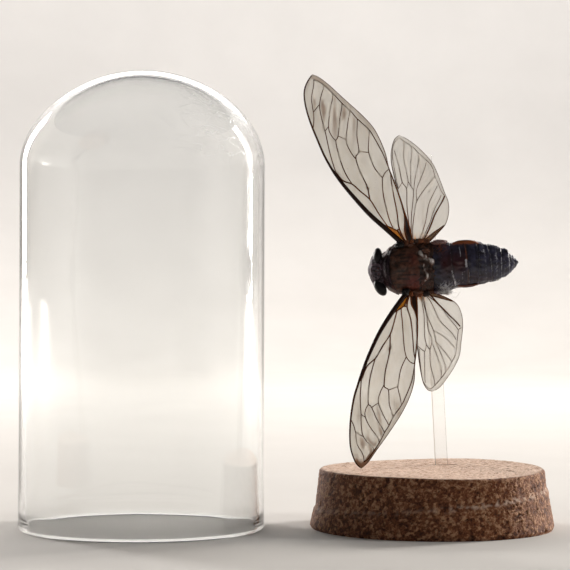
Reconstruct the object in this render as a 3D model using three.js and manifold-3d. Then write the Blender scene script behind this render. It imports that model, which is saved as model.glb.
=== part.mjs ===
import * as THREE from 'three';
import { mergeVertices } from 'three/addons/utils/BufferGeometryUtils.js';
import Module from 'manifold-3d';

// A dried cicada with spread wings, glued to a clear strip that stands in a cork base,
// with the glass dome lifted off and set down beside the base. Millimetres, +Z up.
// The origin is on the table, midway between the dome and the base.

const centreSpacing = 94.9; // dome axis to base axis
const slip = 0.3; // gap between pieces that touch

// Glass dome
const domeRadius = 40;
const domeHeight = 149;
const crownHeight = 31;
const crownPower = 1.95; // 2 is an ellipse, less is flatter at the shoulder
const wall = 2;
const beadRadius = 1.3; // melted edge of the rim
const domeSegments = 48;

// Cork base, widest at the foot, with a step where the dome seats
const corkTopRadius = 36.9;
const corkSeatRadius = 38.3;
const corkFootRadius = 40;
const corkHeight = 19.4;
const seatHeight = 7.4;
const corkEdge = 0.8;
const slitLength = 7.6;
const slitDepth = 9;

// Clear strip
const stripWidth = 4.2;
const stripThickness = 0.8;
const stripRise = 104; // above the cork
const stripLean = THREE.MathUtils.degToRad(-3.1);
const stripFoot = new THREE.Vector3(52.4, 12, corkHeight);

// Specimen frame: x from head to tail, y from back to belly, z to the insect's right
const specimenCentre = new THREE.Vector3(40.9, 0, 85.1);
const specimenTilt = THREE.MathUtils.degToRad(-3.3);
const bodyDepth = 4.4; // y of the body's axis
const wingThickness = 0.3;

const wasm = await Module();
wasm.setup();

const glass = new THREE.MeshStandardMaterial({ color: 0xe8eeee, roughness: 0.03, metalness: 0 });
glass.transparent = true;
glass.opacity = 0.3;
const cork = new THREE.MeshStandardMaterial({ color: 0x8a6248, roughness: 0.95, metalness: 0 });
const acetate = new THREE.MeshStandardMaterial({ color: 0xf0f0ee, roughness: 0.08, metalness: 0 });
const glue = new THREE.MeshStandardMaterial({ color: 0xd8cfae, roughness: 0.2, metalness: 0 });
const shell = new THREE.MeshStandardMaterial({ color: 0x2a1e1e, roughness: 0.35, metalness: 0 });
const brownShell = new THREE.MeshStandardMaterial({ color: 0x45261f, roughness: 0.4, metalness: 0 });
const legShell = new THREE.MeshStandardMaterial({ color: 0x5a3520, roughness: 0.4, metalness: 0 });
const membrane = new THREE.MeshStandardMaterial({ color: 0xb9b4a2, roughness: 0.25, metalness: 0 });

function piece(name, geometry, material) {
  const mesh = new THREE.Mesh(geometry, material);
  mesh.name = name;
  return mesh;
}

function toSolid(geometry) {
  const bare = geometry.clone();
  bare.deleteAttribute('normal');
  bare.deleteAttribute('uv');
  const merged = mergeVertices(bare, 1e-4);
  return new wasm.Manifold(new wasm.Mesh({
    numProp: 3,
    vertProperties: new Float32Array(merged.attributes.position.array),
    triVerts: new Uint32Array(merged.index.array),
  }));
}

function toGeometry(solid) {
  const mesh = solid.getMesh();
  const geometry = new THREE.BufferGeometry();
  geometry.setAttribute('position', new THREE.BufferAttribute(mesh.vertProperties, 3));
  geometry.setIndex(new THREE.BufferAttribute(mesh.triVerts, 1));
  return geometry;
}

// A body of revolution standing on z, from a profile of (radius, height) pairs, top first
function turned(profile, segments) {
  const points = profile.map(([radius, height]) => new THREE.Vector2(radius, height)).reverse();
  return new THREE.LatheGeometry(points, segments).rotateX(Math.PI / 2);
}

// The dome: outer crown and wall down to the melted rim, and back up inside
function domeGeometry() {
  const crownSteps = 12;
  const crown = (radius, height) => Array.from({ length: crownSteps + 1 }, (_, i) => {
    const turn = (i / crownSteps) * (Math.PI / 2);
    return [
      i === 0 ? 0 : radius * Math.sin(turn) ** (2 / crownPower),
      domeHeight - crownHeight + (i === crownSteps ? 0 : height * Math.cos(turn) ** (2 / crownPower)),
    ];
  });
  const beadCentre = domeRadius - beadRadius;
  const bead = [0, 1, 2, 3, 4, 5, 6].map((i) => {
    const turn = (i / 6) * Math.PI;
    return [beadCentre + beadRadius * Math.cos(turn), beadRadius * (1 - Math.sin(turn))];
  });
  const inner = crown(domeRadius - wall, crownHeight - wall).reverse();
  return turned([...crown(domeRadius, crownHeight), ...bead, ...inner], domeSegments);
}

// The base: a turned cork with a slit for the strip
function corkGeometry() {
  const body = toSolid(turned([
    [0, corkHeight],
    [corkTopRadius - corkEdge, corkHeight],
    [corkTopRadius, corkHeight - corkEdge],
    [corkSeatRadius - 0.2, seatHeight + 4],
    [corkSeatRadius, seatHeight],
    [corkSeatRadius + 0.7, seatHeight - 1.2],
    [corkFootRadius, corkEdge],
    [corkFootRadius - corkEdge, 0],
    [0, 0],
  ], 56));
  const cutter = new THREE.BoxGeometry(slitLength, stripThickness + 2 * slip, 2 * slitDepth);
  cutter.translate(stripFoot.x + 1.2 - centreSpacing / 2, stripFoot.y, corkHeight);
  return toGeometry(body.subtract(toSolid(cutter)));
}

// The strip, from just above the slit's floor to its square top
function stripGeometry() {
  const sunk = slitDepth - 1;
  const length = stripRise + sunk;
  const bar = new THREE.BoxGeometry(stripWidth, stripThickness, length);
  return bar.translate(0, 0, length / 2 - sunk).rotateY(stripLean);
}

// A body section: half-widths along x spun round the axis, then flattened from back to belly
function spun(widths, flatness) {
  const points = widths.map(([x, half]) => new THREE.Vector2(half, x));
  const front = new THREE.Vector2(0, points[0].y);
  const back = new THREE.Vector2(0, points[points.length - 1].y);
  return new THREE.LatheGeometry([front, ...points, back], 24)
    .rotateZ(-Math.PI / 2)
    .scale(1, flatness, 1)
    .translate(0, bodyDepth, 0);
}

function headGeometry() {
  const capsule = spun([[-14.2, 1.4], [-13.8, 3.2], [-12.9, 4.8], [-10.9, 5.2]], 0.78);
  let head = toSolid(capsule.translate(0, -0.2, -0.5));
  for (const [x, z] of [[-11.2, 5.4], [-10.4, -6.6]]) {
    const eye = new THREE.SphereGeometry(1.9, 16, 10).translate(x, bodyDepth - 1, z);
    head = head.add(toSolid(eye));
  }
  return toGeometry(head);
}

function pronotumGeometry() {
  return spun([[-10.6 + slip / 3, 3.1], [-9.4, 3.2], [-8.2, 5.6], [-7, 6.9]], 0.72);
}

function thoraxGeometry() {
  return spun([[-6.7, 7.2], [-5.2, 8], [-2, 8.2], [2.5, 8.1], [5, 7.9], [7, 7.6]], 0.707);
}

function abdomenGeometry() {
  return spun([
    [7.3, 7.8], [9, 8.4], [13, 8.2], [18, 8], [22.5, 7.4],
    [26, 6.6], [29, 5.6], [32, 4.3], [34.4, 2.2], [36, 0.5],
  ], 0.66);
}

// A wing plate: leading margin from root to tip, then the trailing margin from root to tip,
// in the specimen frame. The plate leans forward as it leaves the body.
function wingGeometry({ leading, trailing, rootDepth, lean }) {
  const smooth = (points, steps) => new THREE.SplineCurve(
    points.map(([x, z]) => new THREE.Vector2(x, z)),
  ).getPoints(steps);
  const rim = [...smooth(leading, 30), ...smooth(trailing, 26).reverse()];
  const plate = new THREE.ExtrudeGeometry(new THREE.Shape(rim), {
    depth: wingThickness,
    bevelEnabled: false,
  });
  plate.rotateX(Math.PI / 2); // the outline lies in x and z, the thickness along y
  const place = plate.attributes.position;
  for (let i = 0; i < place.count; i += 1) {
    const reach = Math.max(Math.abs(place.getZ(i)) - 8.5, 0);
    place.setY(i, place.getY(i) + rootDepth - lean * reach);
  }
  return plate;
}

const wings = {
  forewing_right: {
    rootDepth: 1, lean: 0.06,
    leading: [
      [-3, 7.7], [-8, 12.8], [-13.2, 17.8], [-17.5, 23], [-21, 27.5], [-23.5, 31], [-25.4, 34.2],
      [-27.4, 38.5], [-29.4, 43.8], [-31, 48.7], [-32.2, 53.3], [-32.7, 57.1], [-32.4, 60],
      [-31.3, 62.4], [-29.2, 64.6],
    ],
    trailing: [
      [-1, 7.7], [-1, 12.3], [-2.1, 20.3], [-3.3, 26], [-5.7, 33.2], [-6.6, 37.8], [-8.2, 42.4],
      [-10.3, 46.6], [-13.5, 50.5], [-17.1, 54.1], [-20.7, 57.6], [-24.3, 61.2], [-27.9, 64.1],
    ],
  },
  forewing_left: {
    rootDepth: 1, lean: 0.27,
    leading: [
      [-3, -8.2], [-6.9, -12.9], [-10, -16.7], [-13.2, -21.3], [-16, -26.2], [-18.3, -30.8],
      [-19.6, -33.9], [-21.3, -38], [-22.7, -42.6], [-23.9, -47.9], [-24.5, -52.1],
      [-24.5, -55.9], [-24, -59.4], [-23.3, -62.1], [-21.8, -63.3],
    ],
    trailing: [
      [1, -8.2], [1.1, -11.7], [0.6, -18.8], [0, -25.5], [-1.4, -31.8], [-1.8, -35.5],
      [-2.6, -38.6], [-4.4, -42.9], [-7.1, -47], [-10.2, -51], [-13.2, -54.5], [-16.3, -58],
      [-19.3, -61.4], [-20.4, -62.8],
    ],
  },
  hindwing_right: {
    rootDepth: 2.6, lean: 0.05,
    leading: [
      [1.5, 9.3], [-1.2, 17], [-3.4, 26], [-4.8, 34.9], [-4.5, 39.4], [-3.4, 42.6], [-1.9, 44],
    ],
    trailing: [
      [6.5, 9.3], [9.6, 11.6], [12.3, 13.8], [13.5, 17], [13.7, 20.6], [12.3, 24.7], [11.2, 28.5],
      [9.7, 32.9], [7.3, 36.5], [4.9, 39.1], [2, 41.7], [0, 43.3],
    ],
  },
  hindwing_left: {
    rootDepth: 2.6, lean: 0.16,
    leading: [
      [1.5, -9.6], [0.4, -18], [0.2, -26.2], [0.4, -31], [1.1, -37.5], [2.2, -39.8], [3.4, -40.7],
    ],
    trailing: [
      [6.5, -9.4], [13.1, -11.4], [15.7, -15.5], [16, -19.1], [15.4, -21.5], [14.9, -25.3],
      [14.1, -29.4], [12.1, -33.1], [8.9, -37.2], [5.2, -40.4],
    ],
  },
};

// A limb: a round rod swept along a smooth curve from the hip, given for the right side
function limbGeometry(points, radius, side) {
  const route = points.map(([x, y, z]) => new THREE.Vector3(x, y, z * side));
  const section = new THREE.Shape(new THREE.EllipseCurve(0, 0, radius, radius).getPoints(8).slice(1));
  return new THREE.ExtrudeGeometry(section, {
    steps: 14,
    extrudePath: new THREE.CatmullRomCurve3(route, false, 'centripetal'),
    bevelEnabled: false,
  });
}

const legRadius = 0.55;
const legs = {
  foreleg: [[-6.2, 11, 1.9], [-9.9, 10.7, 3.6], [-10, 10.4, 4.6], [-7, 10.4, 5.9], [-4.4, 10.2, 6.3]],
  midleg: [[-2.6, 11.2, 1.9], [-5.4, 11.4, 3.2], [-5.3, 11.3, 4.2], [-0.6, 10.8, 5.2], [2, 10.3, 6.4]],
  hindleg: [[1.2, 11.2, 1.9], [-1, 11.6, 2.7], [-0.8, 11.5, 3.6], [10.8, 9.8, 5.6], [14.4, 9.7, 5]],
};
const rostrumRadius = 0.45;
const rostrumRoute = [[-12.2, 9.4, 0], [-7, 10.6, 0], [-1.2, 11.1, 0]];

const specimen = new THREE.Group();
specimen.position.copy(specimenCentre);
specimen.rotation.y = specimenTilt;
specimen.add(piece('head', headGeometry(), shell));
specimen.add(piece('pronotum', pronotumGeometry(), shell));
specimen.add(piece('thorax', thoraxGeometry(), brownShell));
specimen.add(piece('abdomen', abdomenGeometry(), shell));
for (const [name, shape] of Object.entries(wings)) {
  specimen.add(piece(name, wingGeometry(shape), membrane));
}
for (const [name, points] of Object.entries(legs)) {
  specimen.add(piece(`${name}_right`, limbGeometry(points, legRadius, 1), legShell));
  specimen.add(piece(`${name}_left`, limbGeometry(points, legRadius, -1), legShell));
}
specimen.add(piece('rostrum', limbGeometry(rostrumRoute, rostrumRadius, 1), legShell));
const gluePad = new THREE.SphereGeometry(1, 16, 10).scale(1.7, 0.38, 1.7);
specimen.add(piece('glue_pad', gluePad.translate(7.8, 10.9, 0), glue));

const dome = piece('glass_dome', domeGeometry(), glass);
dome.position.x = -centreSpacing / 2;
const base = piece('cork_base', corkGeometry(), cork);
base.position.x = centreSpacing / 2;
const strip = piece('support_strip', stripGeometry(), acetate);
strip.position.copy(stripFoot);

const displayDome = new THREE.Group();
displayDome.add(dome, base, strip, specimen);

export default displayDome;
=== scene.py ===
# A pinned-out cicada on a clear strip in a cork base, with its blown glass dome standing beside it.
# Lengths are in millimetres until makePiece puts them in a mesh. X is to the right, Y away, Z up.

import math

import bmesh
import bpy
import numpy as np
from mathutils import Matrix, Vector


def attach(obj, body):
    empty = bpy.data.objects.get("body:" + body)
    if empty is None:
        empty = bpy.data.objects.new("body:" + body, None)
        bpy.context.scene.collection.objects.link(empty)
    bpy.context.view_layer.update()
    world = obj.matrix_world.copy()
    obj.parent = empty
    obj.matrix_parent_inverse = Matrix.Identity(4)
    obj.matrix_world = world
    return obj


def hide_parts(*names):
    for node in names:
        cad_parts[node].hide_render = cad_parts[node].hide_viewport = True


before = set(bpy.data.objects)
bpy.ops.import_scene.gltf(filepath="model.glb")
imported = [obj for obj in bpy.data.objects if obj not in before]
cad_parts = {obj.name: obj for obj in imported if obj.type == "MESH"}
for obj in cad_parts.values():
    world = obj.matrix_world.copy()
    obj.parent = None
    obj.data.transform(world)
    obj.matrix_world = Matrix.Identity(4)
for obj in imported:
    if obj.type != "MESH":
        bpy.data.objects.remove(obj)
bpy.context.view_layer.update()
metresPerMm = 0.001
mmPerMetre = 1000
wholeTurn = 2 * math.pi

specimen = {"middle": (40.9, 0.0, 85.1), "tilt": 3.3}  # the insect's origin, and its tail's rise in degrees


# shapes as arrays


def smoothAlong(points, places):
    # Catmull-Rom: the cubic through four neighbouring points, read at fractional places along the list
    points = np.asarray(points, float)
    last = len(points) - 1
    places = np.clip(np.asarray(places, float), 0, last)
    index = np.minimum(places.astype(int), last - 1)
    part = (places - index)[..., None]
    before, here, there, after = (points[np.clip(index + step, 0, last)] for step in (-1, 0, 1, 2))
    bend = 2 * before - 5 * here + 4 * there - after + part * (3 * (here - there) + after - before)
    return here + 0.5 * part * (there - before + part * bend)


def smoothPath(points, count):
    # the same curve at evenly spaced places from its first point to its last
    return smoothAlong(points, np.linspace(0, len(points) - 1, count))


def ripples(points, size, seed, waves=24):
    # smooth noise of about unit height: seeded sine waves in all directions, about one swell to each size
    random = np.random.default_rng(seed)
    direction = random.normal(size=(waves, 3))
    direction *= (random.uniform(0.6, 1.6, waves) / np.linalg.norm(direction, axis=1))[:, None]
    phase = random.uniform(0, wholeTurn, waves)
    return np.sin(points @ (direction * wholeTurn / size).T + phase).sum(-1) * math.sqrt(2 / waves)


def scatter(code, factor):
    # a steady random number from 0 to 1 for each whole number
    return np.sin(code * factor) * 43758.5453 % 1


def cells(points, size, seed):
    # cracked grain: one seeded spot in each cube of that size; returns the distance to the nearest spot,
    # how much further the second one is, and the nearest spot's own random number
    home = np.floor(points / size).astype(np.int64)
    nearest = np.full(points.shape[:-1], 9.0)
    second = nearest.copy()
    tone = np.zeros(points.shape[:-1])
    for step in np.ndindex(3, 3, 3):
        cube = home + np.array(step) - 1
        code = (cube * (73, 1949, 8349)).sum(-1) + seed
        spot = np.stack([scatter(code, factor) for factor in (12.9898, 78.233, 37.719)], -1)
        distance = np.linalg.norm(points / size - cube - spot, axis=-1)
        closer = distance < nearest
        second = np.where(closer, nearest, np.minimum(second, distance))
        tone = np.where(closer, scatter(code, 4.898), tone)
        nearest = np.minimum(nearest, distance)
    return nearest, second - nearest, tone


def fade(values, start, end):
    # smooth step: 0 before start, 1 past end, and an S curve between
    part = np.clip((values - start) / (end - start), 0, 1)
    return part * part * (3 - 2 * part)


def dab(x, z, middle, size):
    # a soft spot: a bell curve across each way
    return np.exp(-((x - middle[0]) / size[0]) ** 2 - ((z - middle[1]) / size[1]) ** 2)


def lineDistance(x, z, path):
    # the distance from each place to the nearest stretch of a jointed line
    path = np.asarray(path, float)
    nearest = np.full(x.shape, 1e3)
    for (startX, startZ), (endX, endZ) in zip(path[:-1], path[1:]):
        alongX, alongZ = endX - startX, endZ - startZ
        part = ((x - startX) * alongX + (z - startZ) * alongZ) / (alongX ** 2 + alongZ ** 2 + 1e-9)
        part = np.clip(part, 0, 1)
        nearest = np.minimum(nearest, np.hypot(x - startX - part * alongX, z - startZ - part * alongZ))
    return nearest


def stroke(x, z, path, width):
    # a soft line: a bell curve of the distance from it
    return np.exp(-(lineDistance(x, z, path) / width) ** 2)


def tube(path, radius, sides=8, across=(0.0, 1.0, 0.0)):
    # rings round a path: its radius times the cosine along one normal and the sine along the other; each end
    # is drawn to a point 0.6 of its radius further on
    path = np.asarray(path, float)
    radius = np.array(np.broadcast_to(np.asarray(radius, float), len(path)))
    ahead = np.gradient(path, axis=0)
    ahead /= np.linalg.norm(ahead, axis=1, keepdims=True)
    side = np.cross(ahead, across)
    side /= np.linalg.norm(side, axis=1, keepdims=True)
    up = np.cross(side, ahead)
    first = path[:1] - ahead[:1] * radius[0] * 0.6
    last = path[-1:] + ahead[-1:] * radius[-1] * 0.6
    path = np.concatenate([first, path, last])
    radius = np.concatenate([[0], radius, [0]])[:, None, None]
    side = np.concatenate([side[:1], side, side[-1:]])[:, None]
    up = np.concatenate([up[:1], up, up[-1:]])[:, None]
    angle = np.linspace(0, wholeTurn, sides, endpoint=False)[None, :, None]
    return path[:, None] + radius * (np.cos(angle) * side + np.sin(angle) * up)


def leant(points, degrees):
    # turned in the plane of x and z, from x towards z: x becomes x cos - z sin, and z becomes x sin + z cos
    x, y, z = np.moveaxis(np.asarray(points, float), -1, 0)
    turn = math.radians(degrees)
    return np.stack([x * math.cos(turn) - z * math.sin(turn), y,
                     x * math.sin(turn) + z * math.cos(turn)], -1)


def squared(values, power):
    # keeps the sign and raises the size to a power, so that a power under 1 squares off a circle
    return np.sign(values) * np.abs(values) ** power


def ball(middle, size, rows=14, columns=20, lean=0.0):
    # an ellipsoid: rings of cosine radius between two poles on its x axis, leant by that many degrees
    rise = np.linspace(-math.pi / 2, math.pi / 2, rows)[:, None]
    turn = np.linspace(0, wholeTurn, columns, endpoint=False)[None, :]
    points = np.stack([np.sin(rise) + 0 * turn, np.cos(rise) * np.sin(turn), np.cos(rise) * np.cos(turn)], -1)
    return np.asarray(middle, float) + leant(points * np.asarray(size, float), lean)


def bodyGrid(stations, rows, columns, middleY, boxy=1.0):
    # a body segment: rings along x from its highest to its lowest z, and from its back's y to its belly's;
    # boxy under 1 squares the rings off
    x, top, bottom, back, belly = smoothPath(stations, rows).T[:, :, None]
    turn = np.linspace(0, wholeTurn, columns, endpoint=False)[None, :]
    wide = squared(np.cos(turn), boxy)
    deep = squared(np.sin(turn), boxy)
    y = middleY + np.where(deep > 0, (belly - middleY) * deep, (middleY - back) * deep)
    return np.stack([x + 0 * turn, y, (top + bottom) / 2 + (top - bottom) / 2 * wide], -1)


def swell(points, middleY, amount):
    # moves each point of a body segment straight out from its middle line by that amount
    outward = points - np.stack([points[..., 0], 0 * points[..., 0] + middleY,
                                 0 * points[..., 0] + points[..., 2].mean(1, keepdims=True)], -1)
    length = np.linalg.norm(outward, axis=-1, keepdims=True)
    return points + outward / np.maximum(length, 0.3) * amount[..., None]


def onSpecimen(points):
    # from the insect's own x to its tail, y away and z to its right side, turned by its tilt to its place
    return leant(points, specimen["tilt"]) + specimen["middle"]


def placeAll(parts):
    for part in parts:
        part["points"] = onSpecimen(part["points"])
    return parts


def makePiece(name, parts, materials, nodes):
    # joins the parts' grids in one mesh: quads between neighbouring rows and columns, round and closed where
    # a part wraps; a part may give its material's number and a value for each point as named attributes
    vertices, quads, numbers, start = [], [], [], 0
    names = sorted({key for part in parts for key in part.get("values", {})})
    values = {key: [] for key in names}
    for part in parts:
        points = part["points"]
        shape = points.shape[:-1]
        index = start + np.arange(math.prod(shape)).reshape(shape)
        if part.get("wrap", True):
            index = np.concatenate([index, index[..., :1]], -1)
        corners = [index[..., :-1, :-1], index[..., 1:, :-1], index[..., 1:, 1:], index[..., :-1, 1:]]
        quads.append(np.stack(corners, -1).reshape(-1, 4))
        numbers.append(np.full(len(quads[-1]), part.get("material", 0)))
        vertices.append(points.reshape(-1, 3))
        for key in names:
            value = part.get("values", {}).get(key, 0.0)
            values[key].append(np.broadcast_to(value, shape).ravel())
        start += math.prod(shape)
    mesh = bpy.data.meshes.new(name)
    mesh.from_pydata((np.concatenate(vertices) * metresPerMm).tolist(), [], np.concatenate(quads).tolist())
    for key in names:
        layer = mesh.attributes.new(key, "FLOAT", "POINT")
        layer.data.foreach_set("value", np.concatenate(values[key]).astype(np.float32))
    mesh.polygons.foreach_set("material_index", np.concatenate(numbers).astype(np.int32))
    for material in materials:
        mesh.materials.append(material)
    work = bmesh.new()
    work.from_mesh(mesh)
    bmesh.ops.remove_doubles(work, verts=work.verts, dist=2e-7)
    bmesh.ops.recalc_face_normals(work, faces=work.faces)
    work.to_mesh(mesh)
    work.free()
    mesh.shade_smooth()
    piece = bpy.data.objects.new(name, mesh)
    bpy.context.collection.objects.link(piece)
    if nodes:
        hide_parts(*nodes)
        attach(piece, "root")
    print("made", name, "with", len(mesh.polygons), "faces")
    return piece


# materials


def linear(hexColour):
    # sRGB hex to linear red, green, blue and a full alpha
    parts = [int(hexColour[place:place + 2], 16) / 255 for place in (1, 3, 5)]
    return [part / 12.92 if part <= 0.04045 else ((part + 0.055) / 1.055) ** 2.4 for part in parts] + [1.0]


def addNode(tree, kind, inputs=None, stops=(), out=0, **settings):
    # one shader node: its settings, its inputs as values, hex colours or links, and a colour ramp's stops;
    # returns the output asked for by its number or name
    node = tree.nodes.new("ShaderNode" + kind)
    for key, value in settings.items():
        setattr(node, key, value)
    for key, value in (inputs or {}).items():
        if isinstance(value, bpy.types.NodeSocket):
            tree.links.new(value, node.inputs[key])
        else:
            node.inputs[key].default_value = linear(value) if isinstance(value, str) else value
    for number, (place, colour) in enumerate(stops):
        spots = node.color_ramp.elements
        spot = spots[number] if number < 2 else spots.new(place)
        spot.position = place
        spot.color = linear(colour)
    return node.outputs[out] if node.outputs else node


def newMaterial(name, build):
    # a node material; build gets the empty tree and returns the shader socket, and a volume socket if any
    material = bpy.data.materials.new(name)
    material.use_nodes = True
    material.node_tree.nodes.clear()
    addNode(material.node_tree, "OutputMaterial", dict(zip(("Surface", "Volume"), build(material.node_tree))))
    return material


# the camera, which stands low in front and a little left of the middle

cameraPlace = {"position": (-35.778, -614.929, 70.969), "yaw": 0.05666, "pitch": 0.01352, "roll": 0.00258,
               "focalPixels": 1882.18, "imagePixels": 570, "sensor": 36.0}


def addCamera():
    yaw, pitch, roll = (cameraPlace[key] for key in ("yaw", "pitch", "roll"))
    ahead = np.array([math.sin(yaw) * math.cos(pitch), math.cos(yaw) * math.cos(pitch), math.sin(pitch)])
    level = np.array([math.cos(yaw), -math.sin(yaw), 0.0])
    upright = np.cross(level, ahead)
    right = math.cos(roll) * level + math.sin(roll) * upright
    up = math.cos(roll) * upright - math.sin(roll) * level
    position = np.array(cameraPlace["position"]) * metresPerMm
    data = bpy.data.cameras.new("camera")
    data.sensor_width = cameraPlace["sensor"]
    data.lens = cameraPlace["sensor"] * cameraPlace["focalPixels"] / cameraPlace["imagePixels"]
    data.clip_start = 0.01
    data.clip_end = 50
    camera = bpy.data.objects.new("camera", data)
    columns = np.column_stack([right, up, -ahead, position])
    camera.matrix_world = Matrix(np.vstack([columns, [0, 0, 0, 1]]).tolist())
    bpy.context.collection.objects.link(camera)
    bpy.context.scene.camera = camera


# the pale floor that curves up all round, and the soft light

# shadedFrontPaper is the darker paper in front, a painted shade
studio = {"floorRadius": 1500, "wallRadius": 2300, "wallHeight": 1700, "paper": "#cfccc8",
          "sky": "#f4f6fa", "skyStrength": 0.09, "shadedFrontPaper": "#5f5c59"}
# name, place and aim in metres, width and height in metres, power in watts, colour, and if it shines in glass
softboxes = [
    ("rightBox", (1.45, 0.85, 0.6), (0, 0, 0.07), (0.3, 1.1), 39, "#fffaf4", True),
    ("leftBox", (-1.15, 1.4, 0.5), (0, 0, 0.07), (0.35, 1.1), 31, "#fffbf8", True),
    ("topBox", (0.1, 1.65, 1.05), (0, 0, 0.07), (1.5, 0.5), 10.5, "#fffaf4", True),
    ("rightFill", (1.6, -0.25, 0.7), (0, 0, 0.07), (0.3, 0.3), 10.5, "#fffefc", False),
    ("leftFill", (-1.5, -0.05, 0.55), (0, 0, 0.07), (0.3, 0.3), 4.5, "#fff2e8", False),
    ("backdropBox", (0.1, 1.2, 1.5), (0.1, 2.3, 1.6), (2.4, 0.8), 28, "#fcfcff", True),
]


def paperTree(tree):
    # matt backdrop paper: an even pale grey with the faintest mottle, deeper where it rises in front; that
    # darker front is painted shade, so that less light falls back on the front of things
    place = addNode(tree, "TexCoord", out="Object")
    mottle = addNode(tree, "TexNoise", {"Vector": place, "Scale": mmPerMetre / 90, "Detail": 4.0})
    tone = addNode(tree, "ValToRGB", {"Fac": mottle}, [(0.3, "#d3d0cc"), (0.7, studio["paper"])])
    depth = addNode(tree, "SeparateXYZ", {"Vector": place}, out="Y")
    # painted shade: the paper darkens towards the front
    front = addNode(tree, "MapRange", {"Value": depth, "From Min": -0.35, "From Max": -1.5},
                    interpolation_type="SMOOTHSTEP")
    tone = addNode(tree, "Mix", {0: front, 6: tone, 7: studio["shadedFrontPaper"]}, out=2, data_type="RGBA")
    return [addNode(tree, "BsdfPrincipled", {"Base Color": tone, "Roughness": 0.85,
                                             "Specular IOR Level": 0.2})]


def addStudio():
    # the floor's profile runs out flat, bends up along a quarter circle and ends in a wall, spun once round
    bend = studio["wallRadius"] - studio["floorRadius"]
    quarter = np.linspace(0, math.pi / 2, 24)
    flat = np.linspace(0, studio["floorRadius"], 12)[:-1]
    radius = np.concatenate([flat, studio["floorRadius"] + bend * np.sin(quarter), [studio["wallRadius"]]])
    height = np.concatenate([flat * 0, bend * (1 - np.cos(quarter)), [studio["wallHeight"]]])
    turn = np.linspace(0, wholeTurn, 96, endpoint=False)[None, :]
    points = np.stack([radius[:, None] * np.cos(turn), radius[:, None] * np.sin(turn),
                       height[:, None] + 0 * turn], -1)
    paper = newMaterial("mattBackdropPaper", paperTree)
    floor = makePiece("paperFloor", [{"points": points}], [paper], [])
    floor.data.flip_normals()
    for name, place, aimed, size, power, colour, shines in softboxes:
        data = bpy.data.lights.new(name, "AREA")
        data.shape = "RECTANGLE"
        data.size, data.size_y = size
        data.energy = power
        data.color = linear(colour)[:3]
        light = bpy.data.objects.new(name, data)
        light.location = place
        aim = Vector(aimed) - light.location
        light.rotation_euler = aim.to_track_quat("-Z", "Y").to_euler()
        light.visible_camera = False
        light.visible_glossy = shines
        light.visible_transmission = False
        bpy.context.collection.objects.link(light)
    world = bpy.data.worlds.new("softSky")
    world.use_nodes = True
    background = world.node_tree.nodes["Background"]
    background.inputs["Color"].default_value = linear(studio["sky"])
    background.inputs["Strength"].default_value = studio["skyStrength"]
    bpy.context.scene.world = world
    view = bpy.context.scene.view_settings
    view.view_transform = "Standard"
    view.exposure = 0.0
    print("studio and lights are up")


# the blown glass dome

dome = {"middle": (-47.45, 0.0), "radius": 39.85, "rimRadius": 40.0, "shoulder": 118.0, "height": 149.0,
        "fullness": 1.905, "lean": 0.045, "wall": 2.0, "bead": 1.3, "ripple": 0.10, "columns": 192}


def domeShell(radius, top, fullness, turn):
    # up a straight wall, then over the crown: a superellipse whose power changes a little round the dome
    wallRise = np.linspace(3.2, dome["shoulder"], 40)[:, None]
    sweep = np.linspace(0, math.pi / 2, 44)[1:, None]
    power = 2 / (fullness + dome["lean"] * np.cos(turn))
    crown = top - dome["shoulder"]
    wide = np.concatenate([radius + 0 * wallRise * turn, radius * np.cos(sweep).clip(0) ** power])
    high = np.concatenate([wallRise + 0 * turn, dome["shoulder"] + crown * np.sin(sweep) ** power])
    wide[-1] = 0
    return wide, high


def glassTree(tree):
    # blown soda-lime glass: clear and fire-polished, a faint grey-green in its thick edges, with hair
    # scratches and a light haze where it was rubbed
    place = addNode(tree, "TexCoord", out="Object")
    turned = addNode(tree, "Mapping", {"Vector": place, "Rotation": (0.0, 0.7, 0.0),
                                       "Scale": (0.35, 1.0, 1.6)})
    wander = addNode(tree, "TexNoise", {"Vector": turned, "Scale": mmPerMetre / 5.0, "Detail": 1.5})
    lines = addNode(tree, "ValToRGB", {"Fac": wander}, [(0.485, "#000000"), (0.5, "#ffffff"),
                                                        (0.515, "#000000")])
    blotch = addNode(tree, "TexNoise", {"Vector": place, "Scale": mmPerMetre / 7.0, "Detail": 6.0})
    cloud = addNode(tree, "MapRange", {"Value": blotch, "From Min": 0.45, "From Max": 0.75, "To Max": 0.3})
    marks = addNode(tree, "Math", {0: lines, 1: cloud}, operation="MAXIMUM")
    scuffed = addNode(tree, "Attribute", out="Fac", attribute_name="scuffed")
    worn = addNode(tree, "Math", {0: marks, 1: scuffed}, operation="MULTIPLY")
    rough = addNode(tree, "MapRange", {"Value": worn, "To Min": 0.006, "To Max": 0.4})
    clear = addNode(tree, "MapRange", {"Value": worn, "To Min": 1.0, "To Max": 0.72})
    cut = addNode(tree, "Bump", {"Height": worn, "Distance": 0.03 * metresPerMm, "Strength": 0.6})
    shader = addNode(tree, "BsdfPrincipled", {"Base Color": "#fcfdfd", "Roughness": rough, "IOR": 1.5,
                                              "Transmission Weight": clear, "Normal": cut})
    return [shader, addNode(tree, "VolumeAbsorption", {"Color": "#c6d2ce", "Density": 5.0})]


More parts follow.
